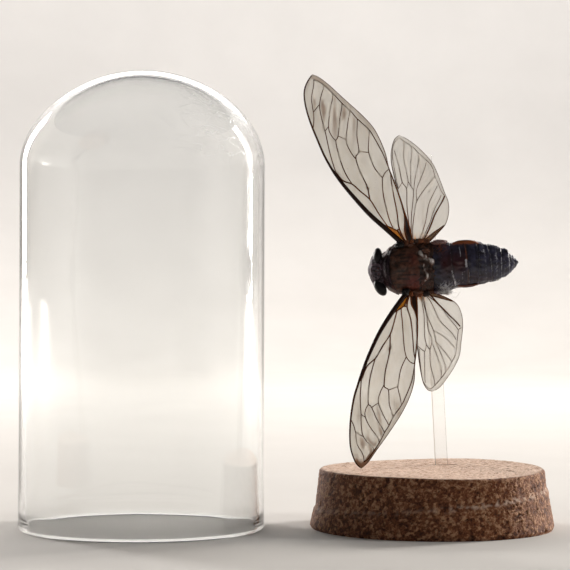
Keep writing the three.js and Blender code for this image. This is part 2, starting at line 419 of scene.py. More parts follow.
def addDome():
    # outer and inner shells meet round the melted bead of the rim, a small circle's lower half
    turn = np.linspace(0, wholeTurn, dome["columns"], endpoint=False)[None, :]
    outerWide, outerHigh = domeShell(dome["radius"], dome["height"], dome["fullness"], turn)
    innerWide, innerHigh = domeShell(dome["radius"] - dome["wall"], dome["height"] - dome["wall"],
                                     dome["fullness"], turn)
    roll = np.linspace(0.75, -0.25, 13)[:, None] * math.pi  # from the inner side round the foot to the outer
    bead = dome["bead"]
    beadWide = dome["rimRadius"] - bead - bead * np.sin(roll - math.pi / 4) + 0 * turn
    beadHigh = bead - bead * np.cos(roll - math.pi / 4) + 0 * turn
    wide = np.concatenate([innerWide[::-1], beadWide, outerWide])
    high = np.concatenate([innerHigh[::-1], beadHigh, outerHigh])
    points = np.stack([wide * np.cos(turn), wide * np.sin(turn), high], -1)
    calm = fade(points[..., 2], 4, 20) * fade(wide, 2, 14)
    wave = ripples(points * (1, 1, 0.45), 42.0, 11)
    inner = np.arange(len(wide))[:, None] < len(innerWide)
    wave = np.where(inner, wave, ripples(points * (1, 1, 0.4), 55.0, 12))
    change = dome["ripple"] * calm * (wave - 1.5) * 0.5
    wide = wide + np.where(inner, -change, np.minimum(change, 0))
    points = np.stack([wide * np.cos(turn), wide * np.sin(turn), high], -1)
    rubbed = fade(points[..., 0], 8, 18) * fade(high, 112, 121) * ~inner * fade(-points[..., 1], -14, -2)
    makePiece("blownDome", [{"points": points + (*dome["middle"], 0), "values": {"scuffed": rubbed}}],
              [newMaterial("blownSodaLimeGlass", glassTree)], ["glass_dome"])


# the cork base

cork = {"middle": (47.45, 0.0), "columns": 600, "height": 19.4, "lip": 0.6, "top": 36.85, "taper": 0.115,
        "foot": 40.0, "seat": (10.2, 3.4, 0.6),  # the worn ring's height, and its tilt along X and Y
        "seatStep": 0.4, "edge": 0.7, "slit": (7.9, 1.3, 9.0), "slitMiddle": (6.15, 12.0),
        "granule": 1.15, "lump": 2.6, "pit": 1.7}


def corkTree(tree):
    # ground and pressed cork: fine brown granules with dark cracks and pits, rubbed pale along the worn ring,
    # and a top with short brown flecks, painted paler for the light it catches from above and behind
    place = addNode(tree, "TexCoord", out="Object")
    fine = addNode(tree, "TexNoise", {"Vector": place, "Scale": mmPerMetre / 0.7, "Detail": 5.0,
                                      "Roughness": 0.7})
    grain, rubbed, pitted, sanded = (addNode(tree, "Attribute", out="Fac", attribute_name=name)
                                     for name in ("grain", "rubbed", "pitted", "sanded"))
    mixed = addNode(tree, "Math", {0: grain, 1: fine}, operation="ADD")
    side = addNode(tree, "ValToRGB", {"Fac": mixed}, [(0.44, "#2a140a"), (0.58, "#472514"), (0.76, "#74462b"),
                                                      (0.95, "#b18768")])
    side = addNode(tree, "Mix", {0: rubbed, 6: side, 7: "#cbb09d"}, out=2, data_type="RGBA")
    # dark where pitted, cracked or crumbled, and painted shade inside the slit
    side = addNode(tree, "Mix", {0: pitted, 6: side, 7: "#180a05"}, out=2, data_type="RGBA")
    flat = addNode(tree, "Mapping", {"Vector": place, "Scale": (0.6, 1.0, 1.0)})
    flecks = addNode(tree, "TexNoise", {"Vector": flat, "Scale": mmPerMetre / 0.9, "Detail": 6.0,
                                        "Roughness": 0.7})
    # painted light: the top's paler colours stand for the light it catches from above and behind, over its
    # real flecks
    top = addNode(tree, "ValToRGB", {"Fac": flecks}, [(0.38, "#8f6248"), (0.46, "#c9a78f"),
                                                      (0.62, "#e6cfbd")])
    top = addNode(tree, "Mix", {0: pitted, 6: top, 7: "#6b4632"}, out=2, data_type="RGBA")
    colour = addNode(tree, "Mix", {0: sanded, 6: side, 7: top}, out=2, data_type="RGBA")
    height = addNode(tree, "Math", {0: mixed, 1: pitted}, operation="SUBTRACT")
    normal = addNode(tree, "Bump", {"Height": height, "Distance": 0.3 * metresPerMm, "Strength": 0.8})
    return [addNode(tree, "BsdfPrincipled", {"Base Color": colour, "Roughness": 0.75,
                                             "Specular IOR Level": 0.3, "Normal": normal})]


def addCork():
    # the side tapers to a worn, tilted ring, steps out under it and flares to the foot, spun once round;
    # the top is rings that run in to the slit's outline and down into it
    turn = np.linspace(0, wholeTurn, cork["columns"], endpoint=False)[None, :]
    height, edge = cork["height"], cork["edge"]
    high = np.concatenate([[0, 0.25], np.linspace(0.7, height - edge, 72), [height - 0.4 * edge, height]])
    high = high[:, None] + 0 * turn
    middle, tiltX, tiltY = cork["seat"]
    seat = middle + tiltX * np.cos(turn) + tiltY * np.sin(turn)
    upper = cork["top"] + cork["taper"] * (height - high)
    atSeat = cork["top"] + cork["taper"] * (height - seat) + cork["seatStep"]
    flare = atSeat + (cork["foot"] - atSeat) * np.clip((seat - high) / (seat - 1.2), 0, 1)
    below = fade(seat - high, -0.3, 0.9)
    wide = upper * (1 - below) + flare * below
    wide -= 0.6 * fade(-high, -0.9, 0.0) + edge * fade(high, height - edge, height + 0.01) ** 2
    outline = np.stack([wide * np.cos(turn), wide * np.sin(turn), high], -1)
    slitLong, slitWide, slitDeep = cork["slit"]
    slit = np.stack([cork["slitMiddle"][0] + slitLong / 2 * np.clip(1.25 * np.cos(turn), -1, 1),
                     cork["slitMiddle"][1] + slitWide / 2 * np.clip(1.6 * np.sin(turn), -1, 1),
                     height + 0 * turn], -1)
    run = np.linspace(0, 1, 70)[1:, None, None]
    top = outline[-1:] * (1 - run) + slit * run
    drop = np.linspace(0, 1, 8)[1:, None, None]
    heart = np.array([*cork["slitMiddle"], 0])
    hole = np.concatenate([slit - drop * (0, 0, slitDeep), slit * (0, 0, 1) - (0, 0, slitDeep) + heart])
    foot = np.concatenate([outline[:1] * (share, share, 1) for share in (0, 0.5, 0.93)])
    points = np.concatenate([foot, outline, top, hole])
    rows = np.arange(len(points))[:, None] + 0 * turn
    lastSide = len(foot) + len(outline)
    onTop = fade(rows, lastSide - 2, lastSide)
    free = fade(rows, 3, 5) * (1 - fade(rows, len(points) - 12, len(points) - 10))
    _, crack, tone = cells(points, cork["granule"], 5)
    _, _, lumpTone = cells(points, cork["lump"], 7)
    bent = points + 0.5 * np.stack([ripples(points, 1.6, seed) for seed in (43, 44, 45)], -1)
    pitNear, _, pitTone = cells(bent, cork["pit"], 17)
    pits = (pitTone > 0.8) * fade(0.4 - pitNear, 0.0, 0.2) * (0.4 + 0.6 * lumpTone)
    cracks = (1 - fade(crack, 0.0, 0.16)) * fade(tone, 0.3, 0.9)
    crumbs = fade(ripples(points, 7.0, 41), 0.7, 1.5) * fade(-high.min(0) - points[..., 2], -2.6, -0.3)
    crumbs = crumbs * fade(np.cos(turn - 5.6), -0.2, 0.8)
    sunk = 0.5 * pits + 0.17 * cracks + 0.2 * (1 - tone) + 0.08 * lumpTone + 0.9 * crumbs * (tone > 0.35)
    sunk = sunk * free * (1 - 0.6 * onTop)
    outward = np.stack([np.cos(turn) + 0 * rows, np.sin(turn) + 0 * rows, 0 * rows], -1)
    points = points - outward * (sunk * (1 - onTop))[..., None]
    bearing = np.arctan2(points[..., 1], points[..., 0])
    reach = np.hypot(points[..., 0], points[..., 1]) / cork["top"]
    twist = 0.8 * reach * np.sin(bearing + 0.5) * fade(np.cos(bearing) * reach, -0.5, 0.6) - 0.15
    lift = fade(points[..., 2], 12, height) * (1 - fade(rows, len(points) - 9, len(points) - 8))
    points[..., 2] = np.clip(points[..., 2] + lift * twist - sunk * onTop, 0, height + cork["lip"])
    ring = np.exp(-((points[..., 2] - seat) / 0.8) ** 2) * (1 - onTop)
    ring = ring * fade(ripples(points, 2.2, 46), -0.6, 1.0)
    rubbed = ring * (0.26 + 0.6 * fade(np.cos(turn + 0.6), 0.2, 0.95))
    # painted shade: the slit's rim and inside are coloured dark for the shade in the narrow slit
    slitShade = 0.9 * (rows > len(points) - 10)
    pitted = np.clip(pits + 0.5 * cracks * (1 - 0.4 * onTop) + 0.5 * crumbs, 0, 1) * free
    values = {"grain": 0.06 + 0.32 * tone + 0.1 * lumpTone, "sanded": onTop,
              "rubbed": np.clip(rubbed, 0, 0.8), "pitted": np.maximum(pitted, slitShade)}
    makePiece("corkBase", [{"points": points + (*cork["middle"], 0), "values": values}],
              [newMaterial("pressedGroundCork", corkTree)], ["cork_base"])


# the clear strip that stands in the cork's slit, and the glue spot on it

strip = {"foot": (52.4, 12.0, 19.4), "wide": 4.2, "thick": 0.8, "rise": 104.0, "sunk": 8.0, "lean": 3.1,
         "corners": (0.12, 0.3), "bow": 0.25}


def acetateTree(tree):
    # die-cut clear acetate: glossy faces with light scuffs, and narrow frosted edges where it was cut
    place = addNode(tree, "TexCoord", out="Object")
    upright = addNode(tree, "Mapping", {"Vector": place, "Scale": (3.0, 1.0, 0.25)})
    scuff = addNode(tree, "TexNoise", {"Vector": upright, "Scale": mmPerMetre / 3, "Detail": 5.0,
                                       "Roughness": 0.6})
    frosted = addNode(tree, "Attribute", out="Fac", attribute_name="frosted")
    rough = addNode(tree, "MapRange", {"Value": scuff, "From Min": 0.45, "From Max": 0.8, "To Min": 0.01,
                                       "To Max": 0.07})
    rough = addNode(tree, "Math", {0: frosted, 1: 0.45, 2: rough}, operation="MULTIPLY_ADD", use_clamp=True)
    clear = addNode(tree, "MapRange", {"Value": frosted, "To Min": 1.0, "To Max": 0.35})
    colour = addNode(tree, "Mix", {0: frosted, 6: "#fbfaf9", 7: "#b9a69a"}, out=2, data_type="RGBA")
    normal = addNode(tree, "Bump", {"Height": scuff, "Distance": 0.02 * metresPerMm, "Strength": 0.3})
    shader = addNode(tree, "BsdfPrincipled", {"Base Color": colour, "Roughness": rough, "IOR": 1.47,
                                              "Transmission Weight": clear, "Normal": normal})
    return [shader, addNode(tree, "VolumeAbsorption", {"Color": "#cdc2b8", "Density": 8.0})]


def addStrip():
    # a rounded rectangle carried up a line that leans to the left and bows a little
    turn = np.linspace(0, wholeTurn, 96, endpoint=False)[None, :]
    cornerX = strip["wide"] / 2 * squared(np.cos(turn), strip["corners"][0])
    cornerY = strip["thick"] / 2 * squared(np.sin(turn), strip["corners"][1])
    length = strip["rise"] + strip["sunk"]
    up = np.concatenate([[0, 0.02], np.linspace(0.1, length - 0.1, 56), [length] * 2])[:, None]
    keep = np.ones_like(up)
    keep[[0, -1]] = 0
    keep[[1, -2]] = 0.96
    bow = strip["bow"] * np.sin(math.pi * up / up[-1])
    local = np.stack([cornerX * keep, cornerY * keep - bow, up - strip["sunk"] + 0 * turn], -1)
    across = local[..., 0]
    frosted = fade(np.abs(across), strip["wide"] / 2 - 0.2, strip["wide"] / 2 - 0.08)
    frosted = frosted * (1 - 0.6 * (across > 0))
    placed = leant(local, strip["lean"]) + strip["foot"]
    makePiece("acetateStrip", [{"points": placed, "values": {"frosted": frosted}}],
              [newMaterial("dieCutClearAcetate", acetateTree)], ["support_strip"])


glue = {"middle": (7.8, 10.9, 0.0), "size": (1.75, 0.42, 1.75), "wobble": 0.07}


def glueTree(tree):
    # dried clear glue: a yellowed, rounded drop
    place = addNode(tree, "TexCoord", out="Object")
    skin = addNode(tree, "TexNoise", {"Vector": place, "Scale": mmPerMetre / 1.0, "Detail": 4.0})
    normal = addNode(tree, "Bump", {"Height": skin, "Distance": 0.05 * metresPerMm, "Strength": 0.4})
    return [addNode(tree, "BsdfPrincipled", {"Base Color": "#efe2c0", "Roughness": 0.12, "IOR": 1.5,
                                             "Transmission Weight": 0.9, "Normal": normal})]


def addGlue():
    # a flattened ball with an uneven edge
    points = ball(glue["middle"], glue["size"], 24, 36)
    wobble = 1 + glue["wobble"] * ripples(points, 1.6, 3)[..., None]
    points = (points - glue["middle"]) * wobble + glue["middle"]
    makePiece("glueSpot", [{"points": onSpecimen(points)}], [newMaterial("driedClearGlue", glueTree)],
              ["glue_pad"])


# hairs and bristles


def hairs(roots, ends, bend, radius):
    # many thin three-sided cones at once: each runs from its root to its end, pushed sideways at the middle
    roots, ends = np.asarray(roots, float)[:, None], np.asarray(ends, float)[:, None]
    along = np.array([0, 0, 0.5, 1.0])[None, :, None]
    path = roots + (ends - roots) * along + np.asarray(bend, float) * 4 * along * (1 - along)
    ahead = ends - roots
    side = np.cross(ahead, (0.3, 0.8, 0.5))
    side /= np.linalg.norm(side, axis=-1, keepdims=True)
    up = np.cross(side, ahead)
    up /= np.linalg.norm(up, axis=-1, keepdims=True)
    size = (np.array([0, 1, 0.75, 0]) * radius)[None, :, None, None]
    turn = np.linspace(0, wholeTurn, 3, endpoint=False)[None, None, :, None]
    return path[:, :, None] + size * (np.cos(turn) * side[:, :, None] + np.sin(turn) * up[:, :, None])


def hairsOn(grid, middleY, count, length, lean, seed, where=None):
    # picks seeded places on a body segment and stands a hair on each, leaning its own way
    random = np.random.default_rng(seed)
    flat = grid.reshape(-1, 3)
    weight = np.ones(len(flat)) if where is None else where.ravel() + 1e-9
    picked = flat[random.choice(len(flat), count, p=weight / weight.sum())]
    outward = picked - np.stack([picked[:, 0], 0 * picked[:, 0] + middleY, 0 * picked[:, 0]], -1)
    outward /= np.linalg.norm(outward, axis=1, keepdims=True) + 1e-6
    way = outward + np.asarray(lean) + random.normal(0, 0.35, (count, 3))
    way /= np.linalg.norm(way, axis=1, keepdims=True)
    size = length * random.uniform(0.5, 1.2, (count, 1))
    return picked - way * 0.1, picked + way * size, random.normal(0, 0.06, (count, 1, 3))


# the insect's dry cuticle


def cuticleTree(tree, look):
    # dry insect cuticle: hard, dark and waxy, with a broken gloss; attributes add maroon, rust, black, and
    # pale:
    # real dust and wax bloom mixed with painted glints and sheen
    place = addNode(tree, "TexCoord", out="Object")
    mottle = addNode(tree, "TexNoise", {"Vector": place, "Scale": mmPerMetre / look["mottle"], "Detail": 5.0,
                                        "Roughness": 0.6})
    dusty = addNode(tree, "TexNoise", {"Vector": place, "Scale": mmPerMetre / 0.45, "Detail": 4.0,
                                       "Roughness": 0.7})
    fine = addNode(tree, "TexNoise", {"Vector": place, "Scale": mmPerMetre / 0.35, "Detail": 6.0,
                                      "Roughness": 0.7})
    colour = addNode(tree, "ValToRGB", {"Fac": mottle}, [(0.36, look["dark"]), (0.66, look["light"])])
    for name in ("maroon", "rust", "black"):
        amount = addNode(tree, "Attribute", out="Fac", attribute_name=name)
        colour = addNode(tree, "Mix", {0: amount, 6: colour, 7: look[name]}, out=2, data_type="RGBA")
    # pale marks: real dust and wax bloom, and painted glints and sheen, broken up by a fine noise
    pale = addNode(tree, "Attribute", out="Fac", attribute_name="pale")
    dustAndGlint = addNode(tree, "Math", {0: pale, 1: dusty}, operation="MULTIPLY")
    dustAndGlint = addNode(tree, "MapRange", {"Value": dustAndGlint, "From Min": 0.12, "From Max": 0.5})
    dustAndGlintColour = addNode(tree, "Mix", {0: mottle, 6: look["pale"], 7: "#d9d6d6"}, out=2, data_type="RGBA")
    colour = addNode(tree, "Mix", {0: dustAndGlint, 6: colour, 7: dustAndGlintColour}, out=2, data_type="RGBA")
    rough = addNode(tree, "MapRange", {"Value": mottle, "From Min": 0.3, "From Max": 0.7,
                                       "To Min": look["gloss"], "To Max": look["gloss"] + 0.2})
    normal = addNode(tree, "Bump", {"Height": fine, "Distance": 0.08 * metresPerMm, "Strength": 0.7})
    return [addNode(tree, "BsdfPrincipled", {
        "Base Color": colour, "Roughness": rough, "IOR": 1.55, "Specular IOR Level": look["shine"],
        "Coat Weight": look["wax"], "Coat Roughness": 0.16, "Normal": normal})]


def cuticle(name, **look):
    # a cuticle material; what the look leaves out takes the values of plain black cuticle
    full = {"dark": "#0f0b0e", "light": "#262026", "maroon": "#4a130f", "rust": "#8a4420", "black": "#060406",
            "pale": "#8f8985", "mottle": 1.6, "gloss": 0.26, "shine": 0.32, "wax": 0.12}
    full.update(look)
    return newMaterial(name, lambda tree: cuticleTree(tree, full))


def eyeTree(tree):
    # dried compound eye: near black and glossy, pricked all over with facets drawn as coarse as they show
    place = addNode(tree, "TexCoord", out="Object")
    facets = addNode(tree, "TexVoronoi", {"Vector": place, "Scale": mmPerMetre / 0.22})
    mottle = addNode(tree, "TexNoise", {"Vector": place, "Scale": mmPerMetre / 1.4, "Detail": 4.0})
    colour = addNode(tree, "ValToRGB", {"Fac": mottle}, [(0.35, "#060507"), (0.7, "#1a1216")])
    normal = addNode(tree, "Bump", {"Height": facets, "Distance": -0.04 * metresPerMm, "Strength": 0.5})
    return [addNode(tree, "BsdfPrincipled", {"Base Color": colour, "Roughness": 0.32, "IOR": 1.56,
                                             "Specular IOR Level": 0.2, "Normal": normal})]


def fluffTree(tree):
    # wax threads and fine hair: dull white, a little yellowed
    place = addNode(tree, "TexCoord", out="Object")
    mottle = addNode(tree, "TexNoise", {"Vector": place, "Scale": mmPerMetre / 0.8, "Detail": 4.0})
    colour = addNode(tree, "ValToRGB", {"Fac": mottle}, [(0.36, "#e4e0dd"), (0.6, "#fdfcfc")])
    return [addNode(tree, "BsdfPrincipled", {"Base Color": colour, "Roughness": 0.8})]


def bristleTree(tree):
    # short brown bristles that catch the light at their tips
    place = addNode(tree, "TexCoord", out="Object")
    mottle = addNode(tree, "TexNoise", {"Vector": place, "Scale": mmPerMetre / 1.1, "Detail": 4.0})
    colour = addNode(tree, "ValToRGB", {"Fac": mottle}, [(0.4, "#1c110c"), (0.7, "#523520")])
    return [addNode(tree, "BsdfPrincipled", {"Base Color": colour, "Roughness": 0.5})]


head = {"middleY": 4.4, "rows": 90, "columns": 120, "stations": [  # x, top z, bottom z, back y, belly y
    (-13.95, 0.0, 0.0, 4.4, 4.4), (-13.85, 1.0, -1.3, 3.5, 5.6), (-13.4, 2.5, -3.0, 2.3, 7.2),
    (-12.8, 4.1, -4.3, 1.5, 8.2), (-12.1, 4.9, -5.6, 0.9, 8.8), (-11.3, 5.1, -6.2, 0.5, 9.1),
    (-10.3, 5.0, -6.4, 0.4, 9.1), (-9.4, 4.5, -6.0, 0.7, 8.5), (-9.0, 2.6, -3.8, 2.2, 6.8),
    (-8.9, -0.6, -0.6, 4.4, 4.4)],
    "rim": [(-11.9, 5.0), (-12.9, 3.4), (-13.4, 0.0), (-12.9, -3.6), (-11.8, -5.6)],
    "furrows": [[(-12.9, -0.2), (-9.4, -0.6)], [(-11.9, 4.0), (-10.0, 1.4)], [(-11.8, -4.6), (-9.9, -1.6)],
                [(-12.6, 2.6), (-10.2, 2.2)], [(-12.4, -3.8), (-9.8, -3.0)],
                [(-12.5, 1.2), (-11.0, 0.9)]],
    "eyes": [((-10.9, 2.5, 4.5), (2.75, 2.1, 1.5), 83), ((-10.55, 2.5, -6.0), (2.95, 2.2, 1.75), -60)],
    "ocelli": [(-11.9, 0.75, -0.5), (-11.1, 0.45, 0.4), (-11.0, 0.45, -1.5)]}


def addHead():
    # a broad capsule with a rim along its front, a furrowed brow, a bulging grooved face and two big eyes
    points = bodyGrid(head["stations"], head["rows"], head["columns"], head["middleY"])
    x, y, z = np.moveaxis(points, -1, 0)
    above = fade(-y, -3.6, -2.0)
    rim = stroke(x, z, head["rim"], 0.35)
    furrow = sum(stroke(x, z, path, 0.22) for path in head["furrows"])
    knobs = dab(x, z, (-11.4, 2.9), (0.9, 0.8)) + dab(x, z, (-11.2, -4.0), (0.9, 0.8))
    crumple = ripples(points * (0.6, 1, 1.4), 1.3, 52)
    amount = above * (0.15 * rim - 0.3 * furrow + 0.2 * knobs + 0.13 * crumple)
    amount = amount + 0.05 * ripples(points, 1.2, 51)
    points = swell(points, head["middleY"], amount)
    values = {"pale": 0.4 * fade(crumple, 0.4, 1.6) * above, "black": np.clip(0.9 * furrow * above, 0, 1),
              "maroon": 0.35 * fade(ripples(points, 3.0, 50), 0.2, 1.4)}
    parts = [{"points": points, "values": values}]
    face = ball((-12.1, 6.9, -0.1), (1.8, 2.3, 2.7), 40, 60)
    grooves = 0.09 * np.abs(np.sin(face[..., 1] * 4.2)) * fade(np.abs(face[..., 2] + 0.1), 0.2, 0.5)
    parts.append({"points": swell(face, 6.9, grooves), "values": {"black": 0.5}})
    for middle, size, lean in head["eyes"]:
        parts.append({"points": ball(middle, size, 32, 44, lean), "material": 1})
    for middle in head["ocelli"]:
        parts.append({"points": ball(middle, (0.26, 0.2, 0.26)), "values": {"maroon": 0.9}})
    for side in (1, -1):
        route = np.array([(0, 0, 0), (0.1, 1.2, 0.5 * side), (0.6, 2.6, 0.7 * side), (1.8, 3.9, 0.8 * side)])
        route = smoothPath(route + (-12.6, 5.6, 2.6 * side - 0.3), 16)
        parts.append({"points": tube(route, np.linspace(0.24, 0.05, 16), 8, (1, 0, 0.2))})
    roots, ends, bend = hairsOn(points, head["middleY"], 90, 0.35, (0.5, 0, 0), 61)
    parts.append({"points": hairs(roots, ends, bend, 0.025), "material": 2})
    makePiece("head", placeAll(parts),
              [cuticle("dryHeadCuticle", dark="#2a222a", light="#73656e", maroon="#563230", pale="#8a868f",
                       gloss=0.5, shine=0.2, wax=0.0),
               newMaterial("driedCompoundEye", eyeTree), newMaterial("brownBristle", bristleTree)],
              ["head"])


pronotum = {"middleY": 4.4, "rows": 90, "columns": 160, "sweep": 3.1, "stations": [
    (-10.8, -0.3, -0.3, 4.4, 4.4), (-10.75, 3.0, -3.6, 1.8, 7.4), (-10.4, 4.4, -5.3, 0.6, 8.6),
    (-9.6, 5.6, -6.5, -0.1, 9.2), (-8.8, 6.9, -7.6, -0.7, 9.6), (-8.3, 7.8, -8.3, -1.0, 9.8),
    (-7.95, 8.15, -8.55, -1.2, 9.9), (-7.72, 7.95, -8.35, -1.05, 9.7), (-7.68, 5.0, -5.4, 0.9, 8.0),
    (-7.66, -0.3, -0.3, 4.4, 4.4)]}


def addPronotum():
    # a collar whose sides sweep back; a raised hem runs along its rear edge, with slanting furrows before it
    points = bodyGrid(pronotum["stations"], pronotum["rows"], pronotum["columns"], pronotum["middleY"])
    x, y, z = np.moveaxis(points, -1, 0)
    above = fade(-y, -4.0, -2.4)
    hem = np.exp(-((x + 8.55) / 0.16) ** 2)
    furrow = np.exp(-((z + 0.2) / 0.16) ** 2) * fade(-x, 8.3, 8.8)
    for side in (1, -1):
        furrow += stroke(x, z, [(-10.2, 1.2 * side), (-9.3, 3.4 * side), (-8.9, 5.0 * side)], 0.2)
        furrow += 0.8 * stroke(x, z, [(-10.3, 3.0 * side), (-9.8, 4.6 * side)], 0.2)
    amount = above * (-0.2 * hem - 0.22 * furrow) + 0.09 * ripples(points, 1.6, 53)
    points = swell(points, pronotum["middleY"], amount)
    points[..., 0] += pronotum["sweep"] * (z / 8.2) ** 2
    dark = above * (0.6 * hem + 0.5 * furrow) + 0.95 * fade(x, -8.0, -7.8)
    warm = fade(np.abs(z), 2.0, 7.0) * (0.5 + 0.3 * ripples(points, 3.0, 49))
    sheen = above * (0.16 + 0.3 * np.exp(-((x + 9.2) / 0.4) ** 2) * np.exp(-(z / 3.5) ** 2))
    parts = [{"points": points, "values": {"black": np.clip(dark, 0, 1), "maroon": np.clip(warm, 0, 1),
                                           "pale": sheen}}]
    roots, ends, bend = hairsOn(points, 4.4, 110, 0.3, (0.6, 0, 0), 62)
    parts.append({"points": hairs(roots, ends, bend, 0.025), "material": 1})
    makePiece("pronotum", placeAll(parts),
              [cuticle("dryPronotumCuticle", dark="#1c1419", light="#43343c", maroon="#55261e",
                       pale="#7b7680", gloss=0.45, shine=0.2, wax=0.0),
               newMaterial("brownBristle", bristleTree)], ["pronotum"])


thorax = {"middleY": 4.4, "rows": 210, "columns": 170, "stations": [
    (-8.3, -0.2, -0.2, 4.4, 4.4), (-8.2, 4.5, -4.9, 1.0, 8.0), (-7.6, 6.3, -6.7, -0.3, 9.2),
    (-6.4, 7.4, -7.7, -0.95, 9.8), (-4.5, 7.9, -8.2, -1.3, 10.1), (-1.5, 8.1, -8.3, -1.4, 10.2),
    (1.5, 8.4, -8.5, -1.3, 10.2), (4.5, 8.6, -8.6, -0.95, 10.1), (6.2, 8.4, -8.2, -0.65, 9.9),
    (7.4, 7.9, -7.7, -0.25, 9.7), (8.2, 7.0, -6.9, 0.4, 9.3), (8.5, 4.0, -3.8, 2.0, 7.6),
    (8.55, 0.0, 0.0, 4.4, 4.4)],
    "crossUpper": [(2.9, 4.8), (3.3, 4.2), (4.9, 3.0), (6.6, 1.9)],
    "crossTip": [(6.8, 1.2), (6.9, 2.0)],
    "crossLower": [(3.6, 1.2), (3.9, -0.9), (4.9, -2.6), (4.2, -4.2), (3.3, -5.6)],
    "streaks": [[(-3.9, 2.3), (-1.5, 2.3)], [(-1.4, -0.1), (0.6, -0.1)], [(-5.4, -0.9), (-2.8, -1.0)],
                [(-6.2, 4.1), (-2.2, 4.6)], [(-5.2, -3.4), (-1.2, -3.7)], [(-3.8, 3.3), (0.2, 3.5)],
                [(-4.2, -2.2), (1.0, -2.3)], [(-5.6, 0.9), (-4.4, 0.9)]],
    "knobs": [((-3.6, 0.6, 7.7), (1.5, 1.2, 1.1), 1.0, 0.0), ((-0.7, 1.4, 7.7), (1.9, 1.1, 0.9), 0.3, 0.2),
              ((1.2, 1.6, -8.1), (2.2, 1.1, 0.9), 0.3, 0.2), ((-2.5, 0.6, -7.9), (1.3, 1.2, 1.3), 1.0, 0.0),
              ((-1.3, 0.9, 8.3), (0.9, 0.8, 0.9), 0.3, 0.4), ((0.4, 1.2, 8.7), (0.8, 0.7, 0.7), 0.1, 0.6),
              ((1.9, 1.6, 8.7), (0.9, 0.8, 0.8), 0.7, 0.2), ((3.5, 2.0, 8.7), (1.1, 0.9, 0.8), 0.1, 0.5),
              ((5.3, 2.6, 8.4), (1.3, 1.0, 0.9), 0.3, 0.3), ((4.8, -0.5, 5.4), (1.2, 0.7, 0.9), 0.0, 0.1),
              ((-0.8, 0.9, -8.6), (0.8, 0.8, 0.8), 0.1, 0.7), ((0.7, 1.2, -8.9), (0.8, 0.8, 0.8), 0.5, 0.4),
              ((2.2, 1.7, -8.9), (1.0, 0.9, 0.9), 0.2, 0.6), ((4.2, 2.3, -8.8), (1.4, 1.0, 1.0), 0.8, 0.1),
              ((6.2, 2.8, -8.1), (1.1, 0.9, 0.9), 0.4, 0.3)]}


